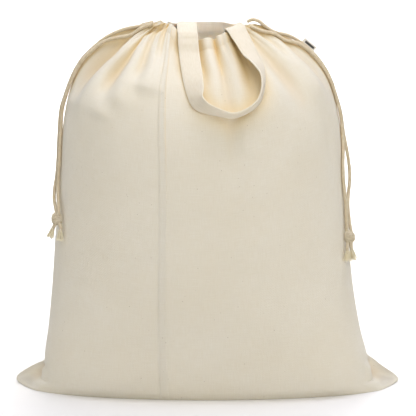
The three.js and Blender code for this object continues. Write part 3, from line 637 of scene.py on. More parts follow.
# Knots: where each sits, its wraps, and the two tails that hang from it
KNOT_CORE = (6.6, 5.6, 6.2)
KNOT_WRAP_THICK = 6.6
KNOT_WRAP_RADIUS = 6.4
KNOT_WRAP_TURN = 385.0
KNOT_WRAP_RISE = 0.09
KNOT_WRAPS = table(("turn_x", "turn_y", "up"), ((62, 24, 2.4), (118, -20, -2.8), (84, 58, 0)))
KNOTS = {
    "left": dict(at=(-270.5, -64, 317.5), tails=(
        ((-272, -64, 312), (-276, -65, 303), (-279, -65, 295)),
        ((-268, -65, 312), (-263.5, -69, 303), (-264.5, -71, 292)),
    )),
    "right": dict(at=(254.5, -56, 283), tails=(
        ((252, -57, 276), (250.3, -61.5, 265), (250.3, -65, 253)),
        ((257, -57, 276), (257.2, -60, 265), (259.5, -62, 254)),
    )),
}

# The frayed end of a tail, whose strands are spread by a golden turn from one to the next
FRAY_STRANDS = 44
FRAY_LONG = 17.0
FRAY_THICK = 1.3
FRAY_SIDES = 4
GOLDEN_TURN = 2.4

# The braid: points round it, strands each way, and its relief about a middle level
BRAID_SIDES = 20
BRAID_STRANDS = 4
BRAID_RELIEF = 0.8
BRAID_MIDDLE = 0.55

# Side label: a plain woven tape that stands out of the right side seam
LABEL_LONG = 28.0
LABEL_WIDE = 16.0
LABEL_THICK = 1.0
LABEL_AT = (179.6, 0.0, 621.1)
LABEL_TURN = 39.0
LABEL_ROWS = 25
LABEL_BOW = 0.35

# Stitches: how far in from an edge or a middle they run, the strap's rows left bare at its ends,
# and how proud of the cloth they lie
FELLED_STITCH_ASIDE = 3.6
SIDE_STITCH_IN = 14.0
STRAP_STITCH_ASIDE = 14.6
STRAP_STITCH_FROM = 14
FELLED_STITCH_OUT = 0.12
HEM_STITCH_OUT = 0.15
SIDE_STITCH_OUT = 0.1


def linear(hex_colour):
    """An sRGB hex colour as the linear values that shader sockets take."""
    values = [int(hex_colour[i:i + 2], 16) / 255 for i in (1, 3, 5)]
    return tuple(v / 12.92 if v <= 0.04045 else ((v + 0.055) / 1.055) ** 2.4 for v in values)


def length_setting(name, description, default, least):
    return bpy.props.FloatProperty(
        name=name, description=description, default=default, min=least, unit="LENGTH")


def colour_setting(name, description, hex_colour):
    return bpy.props.FloatVectorProperty(
        name=name, description=description, default=linear(hex_colour), subtype="COLOR", min=0, max=1)


class BagSizes(bpy.types.PropertyGroup):
    column_gap: length_setting(
        "Column gap", "Cloth between two columns of a panel's mesh", 0.0026, 0.001)
    stitch_pitch: length_setting(
        "Stitch pitch", "From one stitch to the next along a seam", 0.0034, 0.001)
    stitch_long: length_setting("Stitch length", "Length of one stitch's visible thread", 0.0026, 0.0005)
    thread_thick: length_setting("Thread thickness", "Thickness of the sewing thread", 0.0007, 0.0001)
    braid_pitch: length_setting(
        "Braid pitch", "Length of cord in which a strand of the braid goes round it", 0.016, 0.002)


class BagColours(bpy.types.PropertyGroup):
    canvas: colour_setting("Canvas", "Unbleached cotton canvas", "#e9e3d3")
    # Painted shade: the golden tint laid on the canvas high on the bag where folds, cords and the strap close
    # it in
    painted_fold_shade: colour_setting("Canvas in folds", "The canvas where folds close it in", "#e8cf9b")
    webbing: colour_setting("Webbing", "Cotton webbing of the handle strap", "#e6decb")
    braid: colour_setting("Cord", "Braided cotton drawcord", "#ebe0c8")
    thread: colour_setting("Thread", "Cotton sewing thread", "#e9e2d2")
    tape: colour_setting("Label tape", "Woven tape of the side label", "#efece4")
    tape_stripe: colour_setting("Label stripe", "Plain stripe woven into the tape", "#55534f")
    backdrop: colour_setting("Backdrop", "Floor and backdrop paper", "#f7f7f7")


def sizes():
    return bpy.context.scene.bag_sizes


def colours():
    return bpy.context.scene.bag_colours


# Meshes

def add_object(name, data):
    obj = bpy.data.objects.new(name, data)
    bpy.context.scene.collection.objects.link(obj)
    return obj


def add_piece(name, mesh):
    """An object that is part of the bag, attached to the bag's root."""
    obj = add_object(name, mesh)
    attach(obj, "root")
    return obj


def mesh_object(name, shell, material, sharp=None, marks=None):
    """A closed mesh object, with its faces turned outward, from a shell in millimetres.

    A shell is its points, quads, end faces and cloth places. marks are named numbers for each
    point, which a material reads.
    """
    points, quads, ends, places = shell
    faces = [*quads.tolist(), *ends]
    if is_inside_out(points, quads):
        faces = [face[::-1] for face in faces]
    mesh = bpy.data.meshes.new(name)
    mesh.from_pydata((points * MM).tolist(), [], faces)
    corners = np.empty(len(mesh.loops), dtype=np.int32)
    mesh.loops.foreach_get("vertex_index", corners)
    layer = mesh.uv_layers.new(name="Cloth")
    layer.data.foreach_set("uv", (places[corners] * MM).ravel())
    for mark, values in (marks or {}).items():
        layer = mesh.attributes.new(mark, "FLOAT", "POINT")
        layer.data.foreach_set("value", values.astype(np.float32))
    mesh.shade_smooth()
    if sharp is not None:
        mesh.set_sharp_from_angle(angle=math.radians(sharp))
    mesh.materials.append(material)
    mesh.validate()
    return add_piece(name, mesh)


def is_inside_out(points, quads):
    """Whether a shell's quads face inward, by the sign of the volume they close in."""
    a, b, c, d = (points[quads[:, i]] - points.mean(axis=0) for i in range(4))
    return np.einsum("ij,ij->", a, np.cross(b, c) + np.cross(c, d)) < 0


def loop_grid(loops):
    """Quads between neighbouring closed loops of points, and the points in one list."""
    count, around = loops.shape[:2]
    index = np.arange(count * around).reshape(count, around)
    beyond = np.roll(index, -1, axis=1)
    quads = np.stack([index[:-1], index[1:], beyond[1:], beyond[:-1]], axis=-1).reshape(-1, 4)
    return loops.reshape(-1, 3), quads


def through(stations, steps):
    """Points on a smooth curve through stations, with so many steps to each span."""
    stations = np.asarray(stations, float)
    full = np.vstack([2 * stations[0] - stations[1], stations, 2 * stations[-1] - stations[-2]])
    x0, x1, x2, x3 = full[:-3], full[1:-2], full[2:-1], full[3:]
    dt0, dt1, dt2 = (((b - a) ** 2).sum(1)[:, None] ** 0.25 for a, b in ((x0, x1), (x1, x2), (x2, x3)))
    dt1 = np.where(dt1 < 1e-4, 1.0, dt1)
    dt0 = np.where(dt0 < 1e-4, dt1, dt0)
    dt2 = np.where(dt2 < 1e-4, dt1, dt2)
    leave = ((x1 - x0) / dt0 - (x2 - x0) / (dt0 + dt1) + (x2 - x1) / dt1) * dt1
    arrive = ((x2 - x1) / dt1 - (x3 - x1) / (dt1 + dt2) + (x3 - x2) / dt2) * dt1
    t = (np.arange(steps) / steps)[None, :, None]
    x1, x2, leave, arrive = (v[:, None, :] for v in (x1, x2, leave, arrive))
    points = (x1 + leave * t + (3 * (x2 - x1) - 2 * leave - arrive) * t**2
              + (2 * (x1 - x2) + leave + arrive) * t**3).reshape(-1, 3)
    return np.vstack([points, stations[-1:]])


def reached_along(line):
    """How far along a line each of its points is."""
    return np.concatenate([[0], np.cumsum(np.linalg.norm(np.diff(line, axis=0), axis=1))])


def evenly(line, gap):
    """The same line with its points an even distance apart, and how far along they are."""
    reached = reached_along(line)
    count = max(int(round(reached[-1] / gap)), 2)
    at = np.linspace(0, reached[-1], count + 1)
    return np.stack([np.interp(at, reached, line[:, i]) for i in range(3)], axis=1), at


def frames_along(line):
    """A line's direction and two square to it at each point, carried along without a twist."""
    along = unit(np.gradient(line, axis=0))
    aside = np.empty_like(line)
    aside[0] = unit(np.cross(along[0], (0, 1, 0)))
    for i in range(1, len(line)):
        aside[i] = unit(aside[i - 1] - along[i] * np.dot(aside[i - 1], along[i]))
    return along, aside, np.cross(along, aside)


def turned(axis, degrees):
    """The rotation matrix of a turn about the x or the y axis."""
    c, s = math.cos(math.radians(degrees)), math.sin(math.radians(degrees))
    return np.array([[1, 0, 0], [0, c, -s], [0, s, c]] if axis == "x" else [[c, 0, s], [0, 1, 0], [-s, 0, c]])


def braided(line, thick, gap, pitch):
    """A length of round braid along a line: loops of points, and their places along and round it."""
    line, reached = evenly(line, gap)
    along, aside, forward = frames_along(line)
    turn = (2 * math.pi * np.arange(BRAID_SIDES) / BRAID_SIDES)[None, :]
    run = (2 * math.pi * reached / pitch)[:, None]
    over = np.maximum(np.cos(BRAID_STRANDS * (turn + run)), np.cos(BRAID_STRANDS * (turn - run) + math.pi))
    radius = thick / 2 + BRAID_RELIEF * (over - BRAID_MIDDLE)
    around = np.cos(turn)[..., None] * aside[:, None] + np.sin(turn)[..., None] * forward[:, None]
    loops = line[:, None] + radius[..., None] * around
    # A smaller loop a little beyond each end rounds the cut
    beyond, narrow = 0.3, 0.6
    first = line[0] - along[0] * beyond + (loops[0] - line[0]) * narrow
    last = line[-1] + along[-1] * beyond + (loops[-1] - line[-1]) * narrow
    loops = np.concatenate([first[None], loops, last[None]])
    reached = np.concatenate([[-beyond], reached, [reached[-1] + beyond]])
    places = np.broadcast_arrays(turn * thick / 2, reached[:, None])
    return loops, np.stack(places, axis=-1).reshape(-1, 2)


def join(parts):
    """One shell of several closed ones, each of loops of points and cloth places."""
    points, quads, ends, places = [], [], [], []
    start = 0
    for loops, more_places in parts:
        more, faces = loop_grid(loops)
        around = loops.shape[1]
        last = start + len(more) - around
        points.append(more)
        places.append(more_places)
        quads.append(faces + start)
        ends.append(tuple(range(start, start + around)))
        ends.append(tuple(range(last + around - 1, last - 1, -1)))
        start += len(more)
    return np.vstack(points), np.vstack(quads), ends, np.vstack(places)


# Cloth panels

ROWS_DOWN = np.concatenate([
    np.arange(0, 30, 1.5), np.arange(30, 130, 3), np.arange(130, 280, 5), np.linspace(280, LAID_DOWN, 46)])
ROWS_ABOVE_FLOOR = np.array([52, 46, 41, 36, 31, 26, 22, 18, 15, 12, 9.5, 7, 5, 3.4, 2, 1, 0.3, 0.0])
ROWS_UNDER = np.array([0.03, 0.12, 0.3, 0.55, 0.8, 1.0])
UNDER_LONG = 130.0
RIM_TURNS = np.radians([30, 60, 90, 120, 150])


def under_points(face, sheet, z):
    """The sheet's foot, drawn in from its last row to the seam under the bag."""
    seam = sheet[:, -1:].copy()
    seam[..., 1] = SIDE[face] * SEAM_GAP / 2
    seam[..., 2] = z
    return np.concatenate([sheet, mix(sheet[:, -1:], seam, ROWS_UNDER[:, None])], axis=1)


def rim_points(outer, inner):
    """The round edge at the rim, from the outside over to the inside."""
    up = unit(outer[:, 0] - outer[:, 1])[:, None]
    middle = (outer[:, :1] + inner[:, :1]) / 2
    half = (outer[:, :1] - inner[:, :1]) / 2
    reach = np.linalg.norm(half, axis=2, keepdims=True)
    turns = RIM_TURNS[:, None]
    return middle + half * np.cos(turns) + up * reach * np.sin(turns)


def panel_loops(face, across, band):
    """Closed loops of points round the sheet, one for each column, with cloth places and fold depths.

    band is how far each column belongs to the felled band, which lies over the other panel's edge.
    """
    parts = []
    for points_at, rows in ((upper_points, ROWS_DOWN), (lower_points, ROWS_ABOVE_FLOOR)):
        grid = np.meshgrid(across, rows, indexing="ij")
        parts.append(points_at(face, *grid, band[:, None]))
    outer, inner, fold = (np.concatenate(part, axis=1) for part in zip(*parts))
    outer = under_points(face, outer, 0)
    inner = under_points(face, inner, CLOTH_THICK)
    fold = np.pad(fold, ((0, 0), (0, ROWS_UNDER.size)))
    down = np.concatenate([ROWS_DOWN, FLOOR_DOWN - ROWS_ABOVE_FLOOR, FLOOR_DOWN + UNDER_LONG * ROWS_UNDER])
    loops = np.concatenate([outer[:, ::-1], rim_points(outer, inner), inner], axis=1)
    downs = np.concatenate([down[::-1], np.zeros(RIM_TURNS.size), down])
    folds = np.concatenate([fold[:, ::-1], np.repeat(fold[:, :1], RIM_TURNS.size, axis=1), fold], axis=1)
    places = np.stack(np.meshgrid(across * PANEL_WIDE, downs, indexing="ij"), axis=-1)
    return loops, places.reshape(-1, 2), folds.ravel()


def panel_object(name, face, across, band, material):
    loops, places, folds = panel_loops(face, across, band)
    points, quads = loop_grid(loops)
    around = loops.shape[1]
    half = around // 2
    last = len(points) - around
    # Each end is closed by faces from the outside straight across to the inside
    ends = [(half - 1, half, half + 1), (last + half - 1, last + half + 1, last + half)]
    for k in range(half - 1):
        a, b, c, d = k, k + 1, around - 2 - k, around - 1 - k
        ends += [(a, b, c, d), (last + a, last + d, last + c, last + b)]
    return mesh_object(name, (points, quads, ends, places), material, 55, {"fold": folds})


def sheet_columns(start, end):
    gap = sizes().column_gap / MM
    return np.linspace(start, end, int(round((end - start) * PANEL_WIDE / gap)) + 1)


def make_panels():
    canvas = canvas_material("Unbleached cotton canvas", rim_glow=0.3, golden_most=1.0, painted_rim_light=0.0)
    # The back panel takes a lit copy of the canvas: its rim is painted paler as painted light inside the
    # mouth, and its folds get no painted golden shade
    gathered = canvas_material(
        "Unbleached cotton canvas at the neck", rim_glow=0.85, golden_most=0.0, painted_rim_light=1.0)
    half = FELLED_WIDE / 2 / PANEL_WIDE
    edge = FELLED_EDGE / PANEL_WIDE
    plain = sheet_columns(0, FELLED_AT - half - edge)
    lap = FELLED_AT + np.array([-1, -0.97, -0.8, -0.4, 0, 0.4, 0.8, 0.97, 1]) * half
    under = FELLED_AT + np.array([-0.72, -0.3, 0.2, 0.7, 1.05]) * half
    left = np.concatenate([plain, lap])
    left_band = np.concatenate([np.zeros(len(plain)), [0.75, 1, 1, 1, 1, 1, 1, 1, 0.8]])
    right = np.concatenate([under, sheet_columns(FELLED_AT + half + edge, 1)])
    back = sheet_columns(0, 1)
    for name, node, across, band, material, flat_wide in (
            ("front_left", "front_panel_left", left, left_band, canvas, 0.297),
            ("front_right", "front_panel_right", right, np.zeros(len(right)), canvas, 0.414),
            ("back", "back_panel", back, np.zeros(len(back)), gathered, 0.711)):
        panel = panel_object(name, name.split("_")[0], across, band, material)
        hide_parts(node)


# Strap

def strap_frames():
    """Middle points, width directions and facings of the strap."""
    middle = through([(s["x"], s["y"], s["z"]) for s in STRAP_STATIONS], STRAP_STEPS)
    forwards = unit(np.array(FORWARDS))
    aims = []
    for station in STRAP_STATIONS:
        turn, lift = math.radians(station["turn"]), math.radians(station["lift"])
        level = np.array([math.cos(turn), 0, math.sin(turn)])
        aims.append(level * math.cos(lift) + forwards * math.sin(lift))
    width = through(aims, STRAP_STEPS)
    along = unit(np.gradient(middle, axis=0))
    width = unit(width - along * (width * along).sum(1, keepdims=True))
    return middle, width, np.cross(along, width)


def strap_points(aside, out):
    """Points on the strap at distances aside across it and out of its middle plane."""
    middle, width, facing = strap_frames()
    station = (np.arange(len(middle)) / STRAP_STEPS)[:, None]
    aside = np.asarray(aside, float)[None, :]
    from_middle = (aside / (STRAP_WIDE / 2)) ** 2
    bend = STRAP_CROWN * (1 - from_middle) * np.ones_like(station)
    for wrinkle in STRAP_WRINKLES:
        at = wrinkle["station"] + wrinkle["slant"] * aside / STRAP_WIDE
        bend += hump(station, at, wrinkle["long"], wrinkle["high"]) * (1 - 0.5 * from_middle)
    bend *= ease(0, STRAP_CALM, np.minimum(station, station.max() - station))
    return middle[:, None] + width[:, None] * aside[..., None] + facing[:, None] * (out + bend)[..., None]


def make_strap():
    half, thick = STRAP_WIDE / 2, STRAP_THICK / 2
    flat = np.linspace(-half + thick, half - thick, STRAP_ACROSS)
    turns = np.radians([-60, -30, 0, 30, 60])
    edge = half - thick + thick * np.cos(turns)
    aside = np.concatenate([flat, edge[::-1], flat[::-1], -edge])
    face = np.full(STRAP_ACROSS, thick)
    rise = thick * np.sin(turns)
    loops = strap_points(aside, np.concatenate([face, rise[::-1], -face, rise]))
    run = reached_along(strap_frames()[0])
    places = np.stack(np.meshgrid(run, aside, indexing="ij")[::-1], axis=-1).reshape(-1, 2)
    strap = mesh_object("strap", join([(loops, places)]), webbing_material(), 55)
    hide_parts("handle_strap")


# Drawcords and knots

def knot_parts(place, routes, pitch):
    """A knot's core, its wraps and the two cords that go into it."""
    at = np.array(place["at"], float)
    polar = np.linspace(0.02, math.pi - 0.02, 17)[:, None]
    turn = np.linspace(0, 2 * math.pi, 25)[None, :-1]
    ball = np.stack(np.broadcast_arrays(
        np.sin(polar) * np.cos(turn), np.sin(polar) * np.sin(turn), np.cos(polar)), axis=-1)
    parts = [(at + ball * KNOT_CORE, np.zeros((polar.size * turn.size, 2)))]
    ring = np.linspace(0, math.radians(KNOT_WRAP_TURN), 60)
    circle = np.stack([np.cos(ring), np.sin(ring), KNOT_WRAP_RISE * (ring - math.pi)], axis=1)
    for wrap in KNOT_WRAPS:
        lie = turned("y", wrap["turn_y"]) @ turned("x", wrap["turn_x"])
        line = circle * KNOT_WRAP_RADIUS @ lie.T + at + (0, 0, wrap["up"])
        parts.append(braided(line, KNOT_WRAP_THICK, 0.7, pitch))
    for route in routes:
        end = np.array(route[-1], float)
        on = unit(end - through(route, 12)[-2])
        parts.append(braided(through([end, end + on * 5, at], 8), CORD_THICK, 0.8, pitch))
    return parts


def fray_parts(tail, rng):
    """Fine loose strands that spread from the end of a tail."""
    end = np.array(tail[-1], float)
    down = unit(end - np.array(tail[-2], float))
    aside = unit(np.cross(down, (0, 1, 0)))
    forward = np.cross(down, aside)
    spin = (2 * math.pi * np.arange(FRAY_SIDES) / FRAY_SIDES)[None, :, None]
    parts = []
    for i in range(FRAY_STRANDS):
        turn = GOLDEN_TURN * i
        out = CORD_THICK / 2 * math.sqrt((i + 0.5) / FRAY_STRANDS) * 0.85
        push = (math.cos(turn) * aside + math.sin(turn) * forward) * out
        sway = rng.normal(0, 0.7, 3)
        reach = FRAY_LONG * rng.uniform(0.65, 1.0)
        start = end - down * 8 + push * 0.9
        middle = end + push * 1.7 + sway * 0.5
        tip = end + down * reach * 0.85 + push * rng.uniform(1.9, 3.4) + sway
        line = through([start, middle, tip], 4)
        side, other = frames_along(line)[1:]
        slim = (FRAY_THICK / 2 * np.linspace(1, 0.55, len(line)))[:, None, None]
        loops = line[:, None] + slim * (np.cos(spin) * side[:, None] + np.sin(spin) * other[:, None])
        parts.append((loops, np.zeros((len(line) * FRAY_SIDES, 2))))
    return parts


def make_drawcords():
    braid = braid_material()
    pitch = sizes().braid_pitch / MM
    rng = np.random.default_rng(7)
    for side, place in KNOTS.items():
        routes = {lie: CORD_ROUTES[f"{side}_{lie}"] for lie in ("outer", "inner")}
        parts = knot_parts(place, routes.values(), pitch)
        for tail in place["tails"]:
            parts.append(braided(through(tail, 10), CORD_THICK, 0.8, pitch))
            parts += fray_parts(tail, rng)
        # Painted light: the loose strands of the fray are painted paler than the braid, against the shade
        # they cast on one another
        loose = np.concatenate([
            np.full(len(places), float(loops.shape[1] == FRAY_SIDES)) for loops, places in parts])
        knot = mesh_object(f"{side}_knot", join(parts), braid, marks={"loose": loose})
        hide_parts(f"knot_{side}")
        for lie, route in routes.items():
            line = through(route, 24)
            shell = join([braided(line, CORD_THICK, 0.9, pitch)])
            cord = mesh_object(f"{side}_{lie}_cord", shell, braid)
            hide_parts(f"drawcord_{side}_{lie}")


# Label

def make_label():
    turns = np.radians(np.arange(0, 360, 15))
    wide = np.sign(np.cos(turns)) * np.abs(np.cos(turns)) ** 0.15 * LABEL_WIDE / 2
    thick = np.sign(np.sin(turns)) * np.abs(np.sin(turns)) ** 0.6 * LABEL_THICK / 2
    half_long = LABEL_LONG / 2
    along = np.linspace(-half_long, half_long, LABEL_ROWS)[:, None]
    slim = np.where(along > half_long - 1, 0.55, 1.0)
    bow = LABEL_BOW * np.sin(along / half_long * 2.2)
    loops = np.stack(np.broadcast_arrays(along, thick * slim + bow, wide), axis=-1)
    places = loops[..., [0, 2]].reshape(-1, 2)
    loops = loops @ turned("y", LABEL_TURN).T + LABEL_AT
    label = mesh_object("label", join([(loops, places)]), tape_material(), 50)
    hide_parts("side_label")


# Stitches

def sewn_line(face, across, down, out):
    """A line of sewing on the outside of a panel, a little proud of it."""
    across, down = np.broadcast_arrays(np.asarray(across, float), np.asarray(down, float))
    return upper_points(face, across, down, 0.0)[0] + outward_at(face, across, down) * out


def stitch_lines():
    """Lines of sewing on the finished surfaces, as lists of points in millimetres."""
    lines = []
    for aside in (-FELLED_STITCH_ASIDE, FELLED_STITCH_ASIDE):
        line = []
        for points_at, rows in (
                (upper_points, np.linspace(4, LAID_DOWN, 260)), (lower_points, np.linspace(57, 4, 24))):
            across = np.full_like(rows, FELLED_AT + aside / PANEL_WIDE)
            line.append(points_at("front", across, rows, 1.0)[0])
        lines.append(np.vstack(line) + (0, -FELLED_STITCH_OUT, 0))
    for face, start, end in (("front", 0.012, 0.408), ("front", 0.428, 0.988), ("back", 0.012, 0.988)):
        lines.append(sewn_line(face, np.linspace(start, end, 240), HEM_DEEP, HEM_STITCH_OUT))
    inset = SIDE_STITCH_IN / PANEL_WIDE
    for face in SIDE:
        for across in (inset, 1 - inset):
            lines.append(sewn_line(face, across, np.linspace(30, 620, 200), SIDE_STITCH_OUT))
    surface = STRAP_THICK / 2 + SIDE_STITCH_OUT
    for aside in (-STRAP_STITCH_ASIDE, STRAP_STITCH_ASIDE):
        for out in (surface, -surface):
            line = strap_points([aside], [out])[:, 0]
            lines.append(line[STRAP_STITCH_FROM:-STRAP_STITCH_FROM])
    return lines


def stitch_tree(material):
    """Resamples lines by the stitch pitch and sets one small thread stitch on each point."""
    tree = bpy.data.node_groups.new("Stitches along lines", "GeometryNodeTree")
    tree.interface.new_socket("Geometry", in_out="INPUT", socket_type="NodeSocketGeometry")
    for name in ("Pitch", "Length", "Thickness"):
        tree.interface.new_socket(name, in_out="INPUT", socket_type="NodeSocketFloat")
    tree.interface.new_socket("Geometry", in_out="OUTPUT", socket_type="NodeSocketGeometry")
    given = add_node(tree, "NodeGroupInput").outputs
    points = add_node(tree, "GeometryNodeCurveToPoints", {
        "Curve": given["Geometry"], "Length": given["Pitch"]}, mode="LENGTH").outputs
    ball = add_node(tree, "GeometryNodeMeshUVSphere", {"Segments": 6, "Rings": 4, "Radius": 0.5}).outputs
    size = add_node(tree, "ShaderNodeCombineXYZ", {
        "X": given["Thickness"], "Y": given["Thickness"], "Z": given["Length"]}).outputs
    placed = add_node(tree, "GeometryNodeInstanceOnPoints", {
        "Points": points["Points"], "Instance": ball["Mesh"], "Rotation": points["Rotation"],
        "Scale": size["Vector"]}).outputs
    real = add_node(tree, "GeometryNodeRealizeInstances", {"Geometry": placed["Instances"]}).outputs
    finish = add_node(tree, "GeometryNodeSetMaterial", {
        "Geometry": real["Geometry"], "Material": material}).outputs
    add_node(tree, "NodeGroupOutput", {"Geometry": finish["Geometry"]})
    return tree


def make_stitches():
    curve = bpy.data.curves.new("Stitch lines", "CURVE")
    curve.dimensions = "3D"
    for line in stitch_lines():
        spline = curve.splines.new("POLY")
        spline.points.add(len(line) - 1)
        spline.points.foreach_set("co", np.hstack([line * MM, np.ones((len(line), 1))]).ravel())
    lines = add_object("Stitch lines", curve)
    modifier = lines.modifiers.new("Stitches", "NODES")
    modifier.node_group = stitch_tree(thread_material())
    wanted = {"Pitch": sizes().stitch_pitch, "Length": sizes().stitch_long, "Thickness": sizes().thread_thick}
    for item in modifier.node_group.interface.items_tree:
        if item.in_out == "INPUT" and item.name in wanted:
            modifier[item.identifier] = wanted[item.name]
    bpy.context.view_layer.update()
    evaluated = lines.evaluated_get(bpy.context.evaluated_depsgraph_get())
    mesh = bpy.data.meshes.new_from_object(evaluated)
    bpy.data.objects.remove(lines)
    mesh.shade_smooth()
    add_piece("stitches", mesh)


# Materials, whose patterns are laid out on places in metres along the cloth or in the piece

def add_node(tree, kind, inputs=None, **settings):
    """Adds a node with its settings; each input takes a value or is linked from a socket."""
    node = tree.nodes.new(kind)
    for name, value in settings.items():
        setattr(node, name, value)
    for name, value in (inputs or {}).items():
        socket = node.inputs[name]
        if isinstance(value, bpy.types.NodeSocket):
            tree.links.new(value, socket)
        elif socket.type == "RGBA":
            socket.default_value = (*value, 1.0)
        else:
            socket.default_value = value
    return node


def new_material(name):
    """A material without nodes, and its tree."""
    material = bpy.data.materials.new(name)
    material.use_nodes = True
    material.node_tree.nodes.clear()
    return material, material.node_tree


def close_material(tree, colour, relief, deep, strength, roughness, sheen=0.0, glow=0.0):
    """Closes a material with a relief so deep; glow is the share of light that scatters inside it."""
    bump = add_node(tree, "ShaderNodeBump", {"Strength": strength, "Distance": deep, "Height": relief})
    surface = add_node(tree, "ShaderNodeBsdfPrincipled", {
        "Base Color": colour, "Roughness": roughness, "Normal": bump.outputs["Normal"],
        "Specular IOR Level": 0.25, "Sheen Weight": sheen, "Sheen Roughness": 0.6,
        "Subsurface Weight": glow, "Subsurface Radius": (1.0, 0.92, 0.8), "Subsurface Scale": 0.0035})
    add_node(tree, "ShaderNodeOutputMaterial", {"Surface": surface.outputs["BSDF"]})


def tinted(tree, colour, pattern, none_at, most_at, most, tint):
    """A colour with more of a tint in it as a pattern goes from none_at to most_at."""
    share = add_node(tree, "ShaderNodeMapRange", {
        "Value": pattern, "From Min": none_at, "From Max": most_at, "To Max": most}).outputs["Result"]
    return add_node(tree, "ShaderNodeMix", {0: share, 6: colour, 7: tint}, data_type="RGBA").outputs[2]


def grains(tree, places, per_metre, detail=2.0):
    """Soft uneven grains, so many to a metre each way."""
    spread = add_node(tree, "ShaderNodeMapping", {"Vector": places, "Scale": per_metre}).outputs["Vector"]
    return add_node(tree, "ShaderNodeTexNoise", {
        "Vector": spread, "Scale": 1.0, "Detail": detail}).outputs["Fac"]


def weave(tree, places, pitch):
    """Plain weave from cloth places in metres: threads of one direction over the other by turns."""
    per_metre = (math.pi / pitch, math.pi / pitch, 1.0)
    spread = add_node(tree, "ShaderNodeMapping", {"Vector": places, "Scale": per_metre}).outputs["Vector"]
    ways = add_node(tree, "ShaderNodeSeparateXYZ", {"Vector": spread}).outputs
    warp, weft = (add_node(tree, "ShaderNodeMath", {0: ways[i]}, operation="SINE") for i in (0, 1))
    return add_node(tree, "ShaderNodeMath", {
        0: warp.outputs[0], 1: weft.outputs[0]}, operation="MULTIPLY").outputs[0]


def canvas_material(name, rim_glow, golden_most, painted_rim_light):
    # Unbleached cotton canvas: a dry, matt, slightly uneven weave with slubs and a few seed flecks
    material, tree = new_material(name)
    cloth = add_node(tree, "ShaderNodeUVMap", uv_map="Cloth").outputs["UV"]
    place = add_node(tree, "ShaderNodeTexCoord").outputs["Object"]
    height = add_node(tree, "ShaderNodeSeparateXYZ", {"Vector": place}).outputs["Z"]
    # Painted shade: the cloth is darker where it lies deep in a fold, which is marked on it in millimetres,
    # and on the curled ears, whose painted shade is marked the same way
    fold = add_node(tree, "ShaderNodeAttribute", attribute_name="fold").outputs["Fac"]
    colour = tinted(tree, colours().canvas, fold, -2.0, -24.0, 0.85, linear("#d3bd9b"))
    # Painted shade: high on the bag, where ambient occlusion finds cloth, cord or strap close by, the canvas
    # is tinted golden, standing in for the shade in a narrow fold and the light that goes from cloth to cloth
    # there and comes out golden
    golden = add_node(tree, "ShaderNodeMapRange", {
        "Value": height, "From Min": 0.36, "From Max": 0.5, "To Max": golden_most}).outputs["Result"]
    painted_shade_openness = add_node(tree, "ShaderNodeAmbientOcclusion", {"Distance": 0.045}, samples=6).outputs["AO"]
    colour = tinted(tree, colour, painted_shade_openness, 0.93, 0.35, golden, colours().painted_fold_shade)
    # Painted light: the canvas is painted paler at the rim, standing in for light that comes through the hem
    # there
    colour = tinted(tree, colour, height, 0.61, 0.64, painted_rim_light, linear("#fff4ec"))
    # Slubs are about 1 mm thick and 22 mm long, in the warp and in the weft
    warp, weft = (grains(tree, cloth, per_metre) for per_metre in ((900, 45, 1), (45, 900, 1)))
    slubs = add_node(tree, "ShaderNodeMath", {0: warp, 1: weft}, operation="ADD").outputs[0]
    colour = tinted(tree, colour, slubs, 0.75, 1.25, 0.16, linear("#c9b994"))
    # The yarn's colour is uneven from one 110 mm to the next
    uneven = grains(tree, cloth, (9, 9, 1), 3.0)
    colour = tinted(tree, colour, uneven, 0.35, 0.7, 0.14, linear("#d3c6a6"))
    # Seed flecks are under 2 mm wide, and one comes about every 16 mm
    spread = add_node(tree, "ShaderNodeMapping", {"Vector": cloth, "Scale": (70, 55, 1)}).outputs["Vector"]
    flecks = add_node(tree, "ShaderNodeTexVoronoi", {"Vector": spread, "Scale": 1.0}).outputs["Distance"]
    colour = tinted(tree, colour, flecks, 0.055, 0.03, 0.5, linear("#8e7a55"))
    # The threads are about 1.1 mm apart, and are drawn at twice that so that they show at all
    relief = add_node(tree, "ShaderNodeMath", {
        0: weave(tree, cloth, 0.0022), 1: 0.25, 2: slubs}, operation="MULTIPLY_ADD").outputs[0]
    glow = add_node(tree, "ShaderNodeMapRange", {
        "Value": height, "From Min": 0.58, "From Max": 0.62, "To Min": 0.3, "To Max": rim_glow})
    close_material(tree, colour, relief, deep=0.0006, strength=0.5, roughness=0.92, sheen=0.1,
                   glow=glow.outputs["Result"])
    return material


def webbing_material():
    # Cotton webbing: a denser, paler twill band with fine ribs across it
    material, tree = new_material("Cotton webbing")
    cloth = add_node(tree, "ShaderNodeUVMap", uv_map="Cloth").outputs["UV"]
    slubs = grains(tree, cloth, (500, 90, 1))
    colour = tinted(tree, colours().webbing, slubs, 0.35, 0.75, 0.22, linear("#cbbb97"))
    # The ribs are about 1 mm apart, and are drawn at twice that so that they show at all
    relief = add_node(tree, "ShaderNodeMath", {
        0: weave(tree, cloth, 0.0019), 1: 0.3, 2: slubs}, operation="MULTIPLY_ADD").outputs[0]
    close_material(tree, colour, relief, deep=0.0006, strength=0.5, roughness=0.9, sheen=0.1, glow=0.4)
    return material


